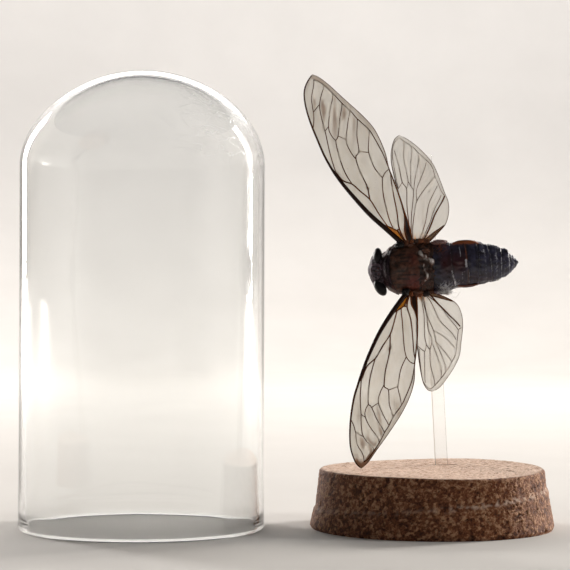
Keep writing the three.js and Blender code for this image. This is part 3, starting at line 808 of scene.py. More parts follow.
def addThorax():
    # a deep barrel: a smooth brown shield in front, a raised cross behind it, hinge knobs where wings root
    points = bodyGrid(thorax["stations"], thorax["rows"], thorax["columns"], thorax["middleY"], 0.92)
    x, y, z = np.moveaxis(points, -1, 0)
    above = fade(-y, -3.2, -1.4)
    rough = fade(ripples(points, 1.3, 48), -0.9, 0.9)
    cross = (stroke(x, z, thorax["crossUpper"], 0.75) + 0.6 * stroke(x, z, thorax["crossTip"], 0.5)) * above
    lower = stroke(x, z, thorax["crossLower"], 0.5) * above
    streaks = sum(stroke(x, z, path, 0.2) for path in thorax["streaks"])
    seams = 0 * x
    for side in (1, -1):
        seams += stroke(x, z, [(-7.2, 2.6 * side), (-4.0, 1.9 * side), (-2.2, 0.9 * side)], 0.13)
        seams += stroke(x, z, [(-6.4, 5.2 * side), (-1.0, 5.6 * side), (2.2, 3.8 * side)], 0.17)
    frontBand = np.exp(-((x + 6.7 - 0.02 * z ** 2) / 0.4) ** 2)
    behind = fade(x + 0.5 * ripples(points, 2.4, 47), 1.9, 2.9) * above
    ledge = [(2.5, 6.8), (2.2, 5.4), (2.6, 1.2), (2.9, -0.2), (2.5, -2.0), (2.3, -5.6), (2.7, -7.2)]
    rear = stroke(x, z, ledge, 0.25) * rough
    lumps = fade(ripples(points, 1.9, 55), -0.3, 1.5) * fade(x, 2.4, 3.4)
    amount = above * (0.5 * cross + 0.4 * lower - 0.5 * behind - 0.22 * rear - 0.1 * seams - 0.05 * streaks)
    amount += 0.5 * lumps * above + 0.04 * ripples(points, 1.1, 54) + 0.12 * ripples(points, 3.4, 56)
    points = swell(points, thorax["middleY"], amount)
    pale = (0.8 * cross + 0.4 * lower) * (0.5 + 0.5 * rough) + 0.8 * dab(x, z, (3.2, 4.4), (0.6, 0.5))
    pale += 0.8 * dab(x, z, (6.6, 1.7), (0.35, 0.6)) + 0.6 * dab(x, z, (4.9, -2.7), (0.35, 0.6))
    pale += (0.5 * dab(x, z, (4.3, -4.1), (0.4, 0.6)) + 0.5 * dab(x, z, (3.8, 0.8), (0.5, 0.5))) * rough
    pale += 0.18 * behind * lumps + 0.22 * frontBand * above
    maroon = 0.95 * dab(x, z, (0.4, -4.8), (2.8, 2.4)) + 0.4 * dab(x, z, (0.4, 2.6), (1.8, 2.4))
    rust = 0.3 * cross * (1 - rough)
    rust = rust + 0.25 * fade(np.abs(z), 5.5, 8.0) * fade(ripples(points, 1.6, 46), 0, 1.5)
    black = 0.95 * streaks + 0.8 * rear + dab(x, z, (3.3, -0.2), (0.4, 0.4)) + 0.5 * seams
    black += 0.6 * behind * (1 - cross.clip(0, 1)) * (1 - lower.clip(0, 1)) * (1 - 0.7 * lumps)
    black += 0.7 * np.exp(-((x + 7.5) / 0.35) ** 2)
    values = {"pale": np.clip(pale * above, 0, 1), "maroon": np.clip(maroon, 0, 1),
              "rust": np.clip(rust, 0, 1), "black": np.clip(black * above, 0, 1)}
    parts = [{"points": points, "values": values}]
    for middle, size, dark, warm in thorax["knobs"]:
        knob = ball(middle, size, 20, 28)
        knob = (knob - middle) * (1 + 0.14 * ripples(knob, 0.9, 57)[..., None]) + middle
        parts.append({"points": knob, "values": {"black": dark, "rust": warm}})
    for place, spread in ((-6.2, 2.1), (-2.6, 2.4), (1.2, 2.6)):
        for side in (1, -1):
            parts.append({"points": ball((place, 9.9, spread * side), (1.5, 1.1, 1.4), 18, 24)})
    roots, ends, bend = hairsOn(points, 4.4, 320, 0.4, (0.7, 0, 0), 63, 0.15 + fade(np.abs(z), 4, 8))
    parts.append({"points": hairs(roots, ends, bend, 0.028), "material": 1})
    makePiece("thorax", placeAll(parts),
              [cuticle("dryThoraxCuticle", dark="#29190f", light="#5a382a", maroon="#5f1a12", rust="#8f4e22",
                       pale="#a39a94", gloss=0.38, wax=0.1), newMaterial("brownBristle", bristleTree)],
              ["thorax"])


abdomen = {"middleY": 4.6, "rows": 340, "columns": 150, "stations": [
    (5.9, 0.0, 0.0, 4.6, 4.6), (6.0, 6.3, -6.5, 1.4, 8.2), (6.8, 7.8, -7.9, 0.4, 9.1),
    (7.9, 8.4, -8.5, -0.2, 9.5), (10.0, 8.5, -8.9, -0.75, 9.8), (12.6, 7.9, -8.3, -0.8, 9.7),
    (15.0, 7.9, -7.4, -0.75, 9.5), (18.1, 8.0, -7.3, -0.6, 9.3), (21.4, 7.9, -7.0, -0.3, 9.0),
    (23.6, 7.4, -6.6, 0.0, 8.7), (25.4, 6.7, -6.2, 0.3, 8.4), (28.3, 6.2, -5.7, 0.8, 8.0),
    (30.4, 5.2, -4.9, 1.4, 7.5), (32.2, 4.6, -4.1, 1.9, 7.0), (33.6, 3.1, -3.0, 2.7, 6.4),
    (35.0, 1.7, -1.6, 3.6, 5.8), (35.9, 0.7, -0.4, 4.2, 5.1), (36.1, 0.1, 0.1, 4.6, 4.6)],
    "edges": [(9.6, 0.0, 0.2), (13.1, 0.0, 0.9), (18.3, 0.03, 1.2), (22.1, 0.0, 1.0), (26.2, 0.1, 1.0),
              (30.0, -0.03, 0.6), (32.7, 0.0, 0.45), (34.4, 0.0, 0.3)],  # x on the middle line, slant, step
    # glints are painted highlights: thin light lines along the plates' edges
    "glints": [  # line, width, strength
        ([(17.85, 1.6), (17.85, -0.5)], 0.28, 2.0), ([(18.9, -2.0), (18.8, -6.2)], 0.16, 0.6),
        ([(16.1, 5.9), (16.2, 2.8)], 0.2, 0.7), ([(26.0, 5.4), (26.6, -2.6)], 0.18, 0.6),
        ([(22.5, 4.4), (22.4, -5.4)], 0.12, 0.45), ([(23.1, 3.0), (23.0, -5.2)], 0.1, 0.3),
        ([(30.0, 2.0), (29.8, -4.4)], 0.22, 0.45), ([(13.0, 4.4), (13.1, -0.6)], 0.16, 0.4),
        ([(13.0, -1.8), (13.6, -4.2), (14.2, -6.4)], 0.35, 0.7), ([(32.8, 1.4), (32.7, -2.4)], 0.2, 0.35),
        ([(9.8, 3.4), (10.1, -1.0)], 0.25, 0.3), ([(20.0, 5.6), (20.1, -5.8)], 0.5, 0.22),
        ([(24.3, 4.6), (24.6, -4.8)], 0.6, 0.3), ([(28.2, 3.6), (28.1, -3.8)], 0.7, 0.3)],
    "dusty": [  # middle, size, strength
        ((16.9, -2.9), (0.7, 1.5), 0.6), ((15.6, -5.6), (1.6, 1.1), 0.55), ((23.7, 4.3), (0.9, 0.8), 0.55),
        ((10.6, -6.4), (2.4, 1.6), 0.8), ((13.4, -5.0), (0.9, 1.6), 0.3), ((8.6, 4.4), (0.9, 1.2), 0.25),
        ((28.4, 2.2), (0.9, 0.9), 0.28), ((33.6, -0.6), (1.4, 1.5), 0.35)],
    "flaps": [((18.0, 2.9, 7.25), (5.5, 1.1, 1.15), 0.8), ((18.2, 3.0, -6.85), (4.3, 1.0, 0.62), 0.35)],
    "covers": [((9.6, 2.3, 7.9), (2.7, 1.7, 1.0), 0.4), ((9.5, 2.3, -8.2), (2.4, 1.7, 1.1), 0.1)],
    "tufts": [  # middle, spread, number, length, way
        ((10.6, 0.9, -8.5), (2.0, 0.7, 0.6), 700, 0.8, (0.6, -0.5, -0.4)),
        ((10.0, 0.4, -7.2), (2.0, 0.4, 0.9), 160, 0.5, (0.7, -0.5, -0.3)),
        ((11.2, 1.0, -8.9), (0.7, 0.5, 0.35), 300, 0.8, (0.6, -0.4, -0.6))],
    "thread": [(12.6, 1.2, -9.4), (13.0, 1.0, -10.6), (14.2, 1.1, -10.4), (15.8, 1.4, -8.6)]}


def addAbdomen():
    # a tapering vault of ring plates, each with a raised rear edge that steps down on the next, with
    # rust-brown side folds, drum covers by the thorax, painted glints and a painted sheen on each plate, and
    # a whitish bloom, partly painted sheen, that thickens to the tail
    points = bodyGrid(abdomen["stations"], abdomen["rows"], abdomen["columns"], abdomen["middleY"], 0.95)
    x, y, z = np.moveaxis(points, -1, 0)
    above = fade(-y, -3.6, -1.8)
    rough = fade(ripples(points, 0.9, 67), -1.1, 0.9)
    amount, gap, plateSheen = 0.07 * ripples(points * (0.7, 1, 1), 2.0, 58), 0 * x, 0 * x
    for place, slant, step in abdomen["edges"]:
        past = x - place + slant * z + 0.08 * ripples(points * (0, 1, 1), 3.0, 68)
        ridge = 0.2 * np.exp(-(past.clip(None, 0) / 0.7) ** 2) * (past < 0)
        ridge -= 0.26 * np.exp(-(past.clip(0) / 0.5) ** 2) * (past >= 0)
        amount += step * ridge * (0.35 + 0.65 * above)
        gap += step * np.exp(-((past - 0.12) / 0.13) ** 2)
        plateSheen += 0.5 * np.exp(-((past + 1.4) / 0.9) ** 2)
    second = np.exp(-((x - 21.3) / 0.12) ** 2) + 0.7 * np.exp(-((x - 16.4) / 0.14) ** 2) * fade(z, 1.0, 3.0)
    amount -= 0.14 * second
    amount += 0.03 * np.sin(x * 7) * fade(x, 23, 27)
    points = swell(points, abdomen["middleY"], amount)
    glints = sum(strength * stroke(x, z, path, width) for path, width, strength in abdomen["glints"])
    dusty = sum(strength * dab(x, z, middle, size) for middle, size, strength in abdomen["dusty"])
    # the tail's pale: partly a real wax bloom, partly painted sheen along its middle
    tail = fade(x, 24, 33) * fade(ripples(points, 0.8, 59), -0.2, 1.6) * dab(0 * x, z, (0, -0.2), (1, 4.0))
    # pale: painted glints and plate sheen, real dust patches, and the tail's bloom with its painted sheen
    pale = above * (glints * (0.55 + 0.45 * rough) + dusty * rough + 0.35 * tail + 0.07 * plateSheen)
    maroon = fade(x, 8.2, 10.5) * (1 - fade(x, 17.0, 19.0)) * dab(0 * x, z, (0, 0.6), (1, 3.8))
    maroon += 0.35 * dab(x, z, (20.8, -4.2), (1.4, 1.6)) + 0.3 * dab(x, z, (24.5, -4.6), (1.4, 1.2))
    rust = 0.6 * fade(z, 6.2, 7.6) * fade(x, 12.5, 15.5) * (1 - fade(x, 21.5, 24.0))
    rust += 0.4 * fade(-z, 6.4, 7.2) * fade(x, 14, 17) * (1 - fade(x, 20.5, 22.5))
    rust += 0.55 * stroke(x, z, [(18.1, 6.6), (18.2, 1.8)], 0.25)
    rust += 0.3 * stroke(x, z, [(18.5, -1.5), (18.5, -6.0)], 0.2)
    rust += 0.35 * dab(x, z, (9.8, 6.2), (2.6, 1.8)) * rough
    values = {"pale": np.clip(pale, 0, 1), "maroon": np.clip(0.9 * maroon, 0, 1), "rust": np.clip(rust, 0, 1),
              "black": np.clip(0.9 * gap + 0.6 * second, 0, 1) * (1 - np.clip(pale, 0, 1))}
    parts = [{"points": points, "values": values}]
    for middle, size, warm in abdomen["flaps"]:
        flap = ball(middle, size, 48, 44)
        bowed = np.sign(middle[2]) * (flap[..., 0] - middle[0]) ** 2
        flap[..., 2] += 0.03 * ripples(flap, 2.4, 60) - 0.03 * bowed
        outer = fade(np.sign(middle[2]) * (flap[..., 2] - middle[2]) / size[2], 0.45, 0.85)
        parts.append({"points": flap, "values": {"rust": warm, "black": 0.15 + 0.6 * outer}})
    for middle, size, warm in abdomen["covers"]:
        cover = ball(middle, size, 26, 36)
        cover = (cover - middle) * (1 + 0.07 * ripples(cover, 1.2, 64)[..., None]) + middle
        parts.append({"points": cover, "values": {"pale": 0.32, "rust": warm}})
    for side in (1, -1):
        cover = ball((8.2, 9.4, 3.9 * side), (4.4, 0.85, 3.3), 24, 36)
        parts.append({"points": cover, "values": {"rust": 0.15}})
    random = np.random.default_rng(65)
    tufts = []
    for middle, spread, count, length, way in abdomen["tufts"]:
        roots = np.array(middle) + random.normal(0, 0.5, (count, 3)) * spread
        ways = np.array(way) + random.normal(0, 0.5, (count, 3))
        ways /= np.linalg.norm(ways, axis=1, keepdims=True)
        tufts.append(hairs(roots, roots + ways * length * random.uniform(0.4, 1.2, (count, 1)),
                           random.normal(0, 0.12, (count, 1, 3)), 0.04))
    parts.append({"points": np.concatenate(tufts), "material": 1})
    parts.append({"points": tube(smoothPath(abdomen["thread"], 30), 0.05, 6), "material": 1})
    roots, ends, bend = hairsOn(points, abdomen["middleY"], 220, 0.25, (0.9, 0, 0), 66)
    parts.append({"points": hairs(roots, ends, bend, 0.022), "material": 2})
    makePiece("abdomen", placeAll(parts),
              [cuticle("dryAbdomenCuticle", dark="#15121c", light="#33334a", maroon="#330a0e", rust="#9a5020",
                       pale="#9ea2b6", gloss=0.26, wax=0.25),
               newMaterial("waxFluff", fluffTree), newMaterial("brownBristle", bristleTree)],
              ["abdomen"])


# legs folded under the body, and the beak between them

legs = {  # hip, bend, knee, ankle and toe of the right ones; the left ones are their mirror images
    "foreleg": [(-6.2, 11.0, 1.9), (-9.9, 10.7, 3.6), (-10.0, 10.4, 4.6), (-7.0, 10.4, 5.9),
                (-4.4, 10.2, 6.3)],
    "midleg": [(-2.6, 11.2, 1.9), (-5.4, 11.4, 3.2), (-5.3, 11.3, 4.2), (-0.6, 10.8, 5.2), (2.0, 10.3, 6.4)],
    "hindleg": [(1.2, 11.2, 1.9), (-1.0, 11.6, 2.7), (-0.8, 11.5, 3.6), (10.8, 9.8, 5.6), (14.4, 9.7, 5.0)]}


def legTree(tree):
    # dry leg cuticle: dark brown and waxy, reddish along the thin shin
    place = addNode(tree, "TexCoord", out="Object")
    mottle = addNode(tree, "TexNoise", {"Vector": place, "Scale": mmPerMetre / 1.8, "Detail": 4.0})
    fine = addNode(tree, "TexNoise", {"Vector": place, "Scale": mmPerMetre / 0.3, "Detail": 4.0})
    colour = addNode(tree, "ValToRGB", {"Fac": mottle}, [(0.35, "#1d1412"), (0.7, "#4a2c20")])
    normal = addNode(tree, "Bump", {"Height": fine, "Distance": 0.05 * metresPerMm, "Strength": 0.6})
    return [addNode(tree, "BsdfPrincipled", {"Base Color": colour, "Roughness": 0.36, "IOR": 1.55,
                                             "Coat Weight": 0.15, "Normal": normal})]


def addLegs():
    # thigh, knee, shin and foot are tubes of changing radius, with spines on the shin and two claws
    material = newMaterial("dryLegCuticle", legTree)
    for kind, route in legs.items():
        for name, side in (("right", 1), ("left", -1)):
            hip, bend, knee, ankle, toe = np.array(route) * (1, 1, side)
            parts = [{"points": tube(smoothPath([hip, (hip + bend) / 2, bend], 14),
                                     smoothPath([[0.55], [0.85], [0.8], [0.5]], 14)[:, 0], 14)},
                     {"points": ball((bend + knee) / 2, (0.6, 0.55, 0.7), 12, 16)},
                     {"points": tube(smoothPath([knee, (knee + ankle) / 2 + (0, -0.1, 0), ankle], 18),
                                     smoothPath([[0.45], [0.3], [0.28], [0.34]], 18)[:, 0], 12)}]
            for part in range(3):
                start, end = ankle + (toe - ankle) * part / 3, ankle + (toe - ankle) * (part + 0.94) / 3
                parts.append({"points": tube(smoothPath([start, end], 8), np.linspace(0.2, 0.27, 8), 10)})
            ahead = (toe - ankle) / np.linalg.norm(toe - ankle)
            aside = np.cross(ahead, (0, 1, 0))
            shin = np.linspace(0.25, 0.95, 6)[:, None]
            roots = knee + (ankle - knee) * shin
            turned = np.where(np.arange(6)[:, None] % 2, 1, -1) * aside
            spines = hairs(roots, roots + 0.85 * turned + 0.5 * ahead, np.zeros((6, 1, 3)), 0.08)
            tips = toe + 0.7 * ahead + 0.4 * np.stack([aside, -aside])
            claws = hairs(np.stack([toe, toe]), tips, np.stack([[0.12 * aside], [-0.12 * aside]]), 0.1)
            parts += [{"points": spines}, {"points": claws}]
            makePiece(kind + name.title(), placeAll(parts), [material], [kind + "_" + name])


beak = {"route": [(-12.2, 9.4, 0.0), (-9.6, 10.2, 0.0), (-7.0, 10.6, 0.0), (-1.2, 11.1, 0.0)], "steps": 60,
        "joints": [0, 18, 19, 21, 38, 39, 41, 59], "radii": [0.5, 0.5, 0.4, 0.44, 0.4, 0.3, 0.36, 0.12]}


def addRostrum():
    # three joints of a tapering beak
    radius = np.interp(np.arange(beak["steps"]), beak["joints"], beak["radii"])
    parts = [{"points": tube(smoothPath(beak["route"], beak["steps"]), radius, 16, (0, 0, 1))}]
    makePiece("beak", placeAll(parts), [newMaterial("dryBeakCuticle", legTree)], ["rostrum"])


# wings: a thin membrane between a leading and a trailing curve, with raised veins.
# A place on a wing is (station along it from root to tip, share of the way from leading to trailing edge).

forewingVeins = [  # start radius, end radius, places
    (0.30, 0.24, [(5.75, .01), (5.33, .05), (4.52, .08), (4.11, .19), (3.50, .25), (2.90, .32), (2.00, .29),
                  (1.29, .23)]),
    (0.26, 0.24, [(1.45, .10), (1.29, .23), (1.13, .35), (0.98, .46)]),
    (0.30, 0.42, [(1.08, .53), (0.98, .46), (0.5, .46), (0.1, .44), (0.0, .44)]),
    (0.20, 0.15, [(5.33, .05), (5.92, .07), (7.19, .13), (8.37, .20), (9.29, .25), (10.36, .33), (11.40, .50),
                  (12.12, .76)]),
    (0.18, 0.15, [(8.68, .02), (9.21, .09), (9.77, .14), (11.15, .23), (12.90, .47)]),
    (0.15, 0.14, [(9.77, .14), (10.36, .33)]),
    (0.15, 0.14, [(8.37, .20), (8.65, .30)]),
    (0.18, 0.15, [(7.65, .30), (8.03, .27), (8.65, .30), (10.28, .56), (11.27, .82)]),
    (0.22, 0.16, [(4.11, .19), (5.85, .21), (7.06, .26), (7.65, .30), (7.91, .37), (9.27, .60),
                  (10.28, .83)]),
    (0.15, 0.14, [(7.91, .37), (7.58, .47)]),
    (0.18, 0.15, [(6.15, .48), (6.76, .45), (7.58, .47), (8.76, .67), (9.62, .86)]),
    (0.26, 0.16, [(2.94, .32), (3.64, .42), (4.24, .45), (6.15, .48), (6.62, .58), (7.77, .68), (8.86, .86)]),
    (0.15, 0.14, [(6.62, .58), (6.38, .73)]),
    (0.18, 0.15, [(4.16, .80), (5.40, .73), (6.38, .73), (7.13, .81), (7.90, .91)]),
    (0.18, 0.16, [(4.16, .80), (4.65, .90), (4.9, .99)]),
    (0.16, 0.22, [(4.16, .80), (3.14, .66), (2.08, .53), (1.13, .35)]),
    (0.18, 0.34, [(4.44, .985), (3.04, .87), (1.96, .77), (1.00, .56), (0.0, .5)]),
    (0.20, 0.34, [(2.22, .985), (1.63, .92), (.92, .73), (0.0, .62)]),
    (0.20, 0.20, [(12.90, .47), (12.6, .62), (12.12, .76), (11.27, .82), (10.28, .83), (9.62, .86),
                  (8.86, .86), (7.90, .91), (7.35, .92), (6.40, .94), (4.92, .99)]),
    (0.36, 0.24, [(0.0, .97), (1.2, .975), (2.4, .98), (3.6, .98), (4.9, .985)]),
    (0.15, 0.12, [(4.9, .985), (7.4, .993), (10.0, .993), (12.6, .99), (13.9, .9)]),
]

wings = {
    "forewing_right": {
        "lead": [(-3.0, 7.8), (-7.8, 12.6), (-13.2, 17.8), (-17.5, 22.9), (-21.1, 27.6), (-23.5, 31.1),
                 (-25.3, 34.2), (-27.3, 38.4), (-29.3, 43.8), (-31.0, 48.7), (-32.2, 53.3), (-32.7, 57.1),
                 (-32.5, 59.9), (-31.4, 62.4), (-29.6, 64.8)],
        "trail": [(0.8, 8.0), (0.4, 12.3), (-1.2, 18.5), (-2.8, 24.5), (-4.5, 29.8), (-5.7, 33.2),
                  (-6.6, 37.8), (-8.2, 42.4), (-10.3, 46.6), (-13.5, 50.5), (-17.1, 54.1), (-20.7, 57.6),
                  (-24.3, 61.2), (-27.5, 63.9), (-29.6, 64.8)],
        "rootDepth": 1.0, "lean": 0.06, "veins": forewingVeins, "rows": 210, "columns": 64,
        "costa": (0.9, 0.5, 0.2, 5.3), "tipPatch": 0.0, "squeeze": 0.3},
    "forewing_left": {
        "lead": [(-3.0, -8.4), (-6.9, -12.9), (-10.0, -16.7), (-13.2, -21.3), (-17.0, -28.2), (-19.6, -33.9),
                 (-21.0, -37.2), (-22.4, -40.8), (-23.5, -45.0), (-24.3, -49.2), (-24.7, -52.8),
                 (-24.8, -56.0), (-24.4, -58.8), (-23.3, -61.9), (-21.7, -63.5)],
        "trail": [(0.9, -8.4), (1.2, -11.7), (0.9, -17.0), (0.4, -22.5), (-0.6, -28.2), (-1.4, -31.8),
                  (-2.0, -36.6), (-3.5, -40.8), (-5.6, -44.7), (-8.1, -48.3), (-10.9, -51.8),
                  (-13.6, -55.0), (-16.3, -58.1), (-19.4, -61.8), (-21.7, -63.5)],
        "rootDepth": 1.0, "lean": 0.27, "veins": forewingVeins, "rows": 210, "columns": 64,
        "costa": (0.88, 0.5, 0.2, 5.0), "tipPatch": 1.0, "squeeze": 0.62},
    "hindwing_right": {
        "lead": [(0.0, 9.0), (-0.6, 13.0), (-1.4, 17.0), (-2.2, 21.0), (-3.1, 25.0), (-3.9, 29.0),
                 (-4.6, 33.0), (-4.9, 36.5), (-4.5, 39.6), (-3.4, 42.6), (-1.6, 43.9)],
        "trail": [(7.0, 8.6), (9.9, 11.2), (12.3, 13.8), (13.5, 17.2), (13.6, 21.0), (12.4, 24.6),
                  (11.0, 29.0), (9.0, 34.0), (5.9, 38.0), (2.2, 41.5), (-1.6, 43.9)],
        "rootDepth": 2.6, "lean": 0.05, "rows": 150, "columns": 60,
        "costa": (0.3, 0.18, 0.12, 6.0), "squeeze": 0.0, "speck": [(7.0, 25.1), (7.7, 24.9)],
        "veins": [
            (0.14, 0.15, [(7.31, .05), (8.56, .06), (9.31, .28), (8.92, .53), (8.43, .76), (7.82, .81),
                          (7.26, .88), (6.74, .93), (6.10, .91), (5.55, .92), (4.95, .93), (4.61, .96)]),
            (0.16, 0.16, [(7.30, .04), (6.27, .05), (4.32, .03)]),
            (0.14, 0.24, [(7.80, .10), (6.56, .16), (5.01, .15), (4.48, .20), (2.93, .12), (.48, .07),
                          (0, .1)]),
            (0.13, 0.13, [(5.01, .15), (4.29, .02)]),
            (0.13, 0.14, [(8.87, .52), (7.51, .34), (6.14, .30), (5.19, .28), (4.48, .20)]),
            (0.14, 0.22, [(5.19, .28), (4.77, .31), (4.39, .33), (2.33, .19), (.49, .11), (0, .15)]),
            (0.13, 0.14, [(8.42, .73), (6.86, .46), (4.77, .31)]),
            (0.13, 0.14, [(7.59, .75), (5.92, .49), (4.55, .35)]),
            (0.13, 0.14, [(7.01, .84), (5.76, .59), (4.53, .40), (3.56, .35)]),
            (0.13, 0.20, [(6.07, .90), (4.99, .62), (3.56, .35), (2.37, .25), (.69, .16), (0, .2)]),
            (0.13, 0.22, [(5.34, .88), (3.41, .58), (.66, .48), (0, .4)]),
            (0.13, 0.22, [(4.57, .89), (2.84, .67), (.52, .58), (0, .5)]),
            (0.34, 0.46, [(4.56, .96), (2.59, .70), (.53, .65), (0, .6)]),
            (0.20, 0.34, [(1.84, .97), (1.0, .86), (.3, .72), (0, .64)]),
            (0.20, 0.34, [(1.84, .98), (.8, .98), (0, .98)]),
            (0.12, 0.12, [(0.3, .99), (2.5, .99), (5.0, .99), (7.5, .99), (9.6, .97)])]},
    "hindwing_left": {
        "lead": [(1.2, -9.4), (0.7, -14.0), (0.4, -18.5), (0.2, -23.0), (0.2, -27.0), (0.4, -31.0),
                 (0.7, -34.5), (1.1, -37.3), (1.8, -39.2), (2.8, -40.4), (4.2, -40.8)],
        "trail": [(5.6, -8.2), (10.2, -9.8), (14.3, -12.4), (15.8, -16.0), (15.9, -20.0), (15.0, -25.0),
                  (14.0, -29.6), (12.1, -33.1), (9.6, -36.4), (6.8, -39.5), (4.2, -40.8)],
        "rootDepth": 2.6, "lean": 0.16, "rows": 150, "columns": 60,
        "costa": (0.3, 0.18, 0.12, 6.0), "squeeze": 0.0,
        "veins": [
            (0.14, 0.15, [(3.99, .04), (6.04, .02), (7.19, .02), (8.66, .13), (8.51, .43), (7.76, .65),
                          (7.14, .74), (6.31, .82), (5.66, .88), (4.76, .89), (4.15, .90), (4.06, .96)]),
            (0.22, 0.14, [(0, .25), (.48, .27), (2.67, .18), (3.94, .20), (4.48, .27)]),
            (0.13, 0.13, [(3.94, .20), (4.39, .15), (3.79, .03)]),
            (0.13, 0.13, [(4.39, .15), (7.34, .07)]),
            (0.13, 0.13, [(4.48, .27), (6.00, .27), (8.43, .45)]),
            (0.22, 0.14, [(0, .35), (.38, .33), (2.59, .26), (3.77, .32), (4.48, .27)]),
            (0.22, 0.14, [(0, .4), (.41, .39), (1.71, .29), (3.14, .37), (4.03, .40)]),
            (0.14, 0.13, [(3.14, .37), (5.24, .85)]),
            (0.14, 0.13, [(4.06, .32), (4.96, .40), (7.66, .64)]),
            (0.14, 0.13, [(4.04, .39), (6.98, .71)]),
            (0.14, 0.13, [(4.11, .40), (6.24, .81)]),
            (0.22, 0.14, [(0, .5), (.46, .58), (2.39, .51), (4.71, .86)]),
            (0.22, 0.14, [(0, .6), (.78, .66), (2.44, .69), (4.09, .89)]),
            (0.44, 0.32, [(0, .76), (.42, .76), (1.13, .68), (1.82, .68), (2.46, .73), (3.08, .81),
                          (3.9, .93)]),
            (0.34, 0.22, [(0, .64), (.3, .72), (1.0, .86), (1.7, .97)]),
            (0.34, 0.22, [(0, .97), (.8, .98), (1.65, .985)]),
            (0.12, 0.12, [(0.3, .99), (2.5, .99), (5.0, .99), (7.5, .99), (9.6, .97)])]},
}


def onWing(wing, station, share):
    # between the leading and trailing curves, drawn closer to the trailing one towards the tip by the wing's
    # squeeze; the whole wing leans forward from its root
    squeeze = wing["squeeze"] * fade(station, 8.5, 12.5) * fade(share, 0.2, 0.7)
    share = 1 - (1 - share) * (1 - squeeze)
    lead, trail = smoothAlong(wing["lead"], station), smoothAlong(wing["trail"], station)
    x, z = np.moveaxis(lead + (trail - lead) * np.asarray(share)[..., None], -1, 0)
    y = wing["rootDepth"] - wing["lean"] * np.maximum(np.abs(z) - 8.5, 0)
    return np.stack([x, y, z], -1)


def veinPath(wing, places):
    # a vein's smooth path over the wing, and its station at each point
    count = 8 + int(5 * len(places))
    station, share = smoothPath(places, count).T
    return onWing(wing, station, share), station


def membraneTree(tree):
    # dry wing membrane: a clear film, smoky and finely wrinkled, browned along the veins and amber at the
    # root, that lets tinted light through
    place = addNode(tree, "TexCoord", out="Object")
    across = addNode(tree, "Mapping", {"Vector": place, "Scale": (1.0, 1.0, 0.35)})
    smoke = addNode(tree, "TexNoise", {"Vector": across, "Scale": mmPerMetre / 5, "Detail": 6.0,
                                       "Roughness": 0.7})
    wrinkle = addNode(tree, "TexNoise", {"Vector": place, "Scale": mmPerMetre / 0.8, "Detail": 5.0,
                                         "Roughness": 0.7})
    dots = addNode(tree, "ValToRGB", {"Fac": wrinkle}, [(0.66, "#000000"), (0.7, "#ffffff")])
    speckled = addNode(tree, "Attribute", out="Fac", attribute_name="speckled")
    speck = addNode(tree, "Math", {0: dots, 1: speckled}, operation="MULTIPLY")
    colour = addNode(tree, "ValToRGB", {"Fac": smoke}, [(0.36, "#b3a68c"), (0.64, "#cac2ae")])
    alpha = addNode(tree, "MapRange", {"Value": smoke, "From Min": 0.3, "From Max": 0.7, "To Min": 0.5,
                                       "To Max": 0.4})
    tints = [("clear", "#d8d3c6", -0.06), ("stain", "#80583a", 0.34), ("amber", "#d6861c", 0.5),
             ("brown", "#2c170d", 0.55)]
    for name, tint, cover in tints:
        amount = addNode(tree, "Attribute", out="Fac", attribute_name=name)
        colour = addNode(tree, "Mix", {0: amount, 6: colour, 7: tint}, out=2, data_type="RGBA")
        alpha = addNode(tree, "Math", {0: amount, 1: cover, 2: alpha}, operation="MULTIPLY_ADD",
                        use_clamp=True)
    colour = addNode(tree, "Mix", {0: speck, 6: colour, 7: "#3b2a20"}, out=2, data_type="RGBA")
    alpha = addNode(tree, "Math", {0: speck, 1: 0.25, 2: alpha}, operation="MULTIPLY_ADD", use_clamp=True)
    normal = addNode(tree, "Bump", {"Height": wrinkle, "Distance": 0.06 * metresPerMm, "Strength": 0.6})
    return [addNode(tree, "BsdfPrincipled", {"Base Color": colour, "Roughness": 0.3, "IOR": 1.45,
                                             "Alpha": alpha, "Transmission Weight": 0.5,
                                             "Normal": normal})]


def veinTree(tree):
    # dry vein: a dark brown tube, red-brown near the root, greyer in the hindwing, and semi-gloss
    place = addNode(tree, "TexCoord", out="Object")
    mottle = addNode(tree, "TexNoise", {"Vector": place, "Scale": mmPerMetre / 2.2, "Detail": 4.0})
    fine = addNode(tree, "TexNoise", {"Vector": place, "Scale": mmPerMetre / 0.3, "Detail": 4.0})
    colour = addNode(tree, "ValToRGB", {"Fac": mottle}, [(0.35, "#160c0a"), (0.7, "#2e1a13")])
    for name, tint in (("warm", "#7d431f"), ("grey", "#6a5f57"), ("black", "#080405")):
        amount = addNode(tree, "Attribute", out="Fac", attribute_name=name)
        colour = addNode(tree, "Mix", {0: amount, 6: colour, 7: tint}, out=2, data_type="RGBA")
    normal = addNode(tree, "Bump", {"Height": fine, "Distance": 0.03 * metresPerMm, "Strength": 0.5})
    return [addNode(tree, "BsdfPrincipled", {"Base Color": colour, "Roughness": 0.26, "IOR": 1.55,
                                             "Specular IOR Level": 0.22, "Normal": normal})]


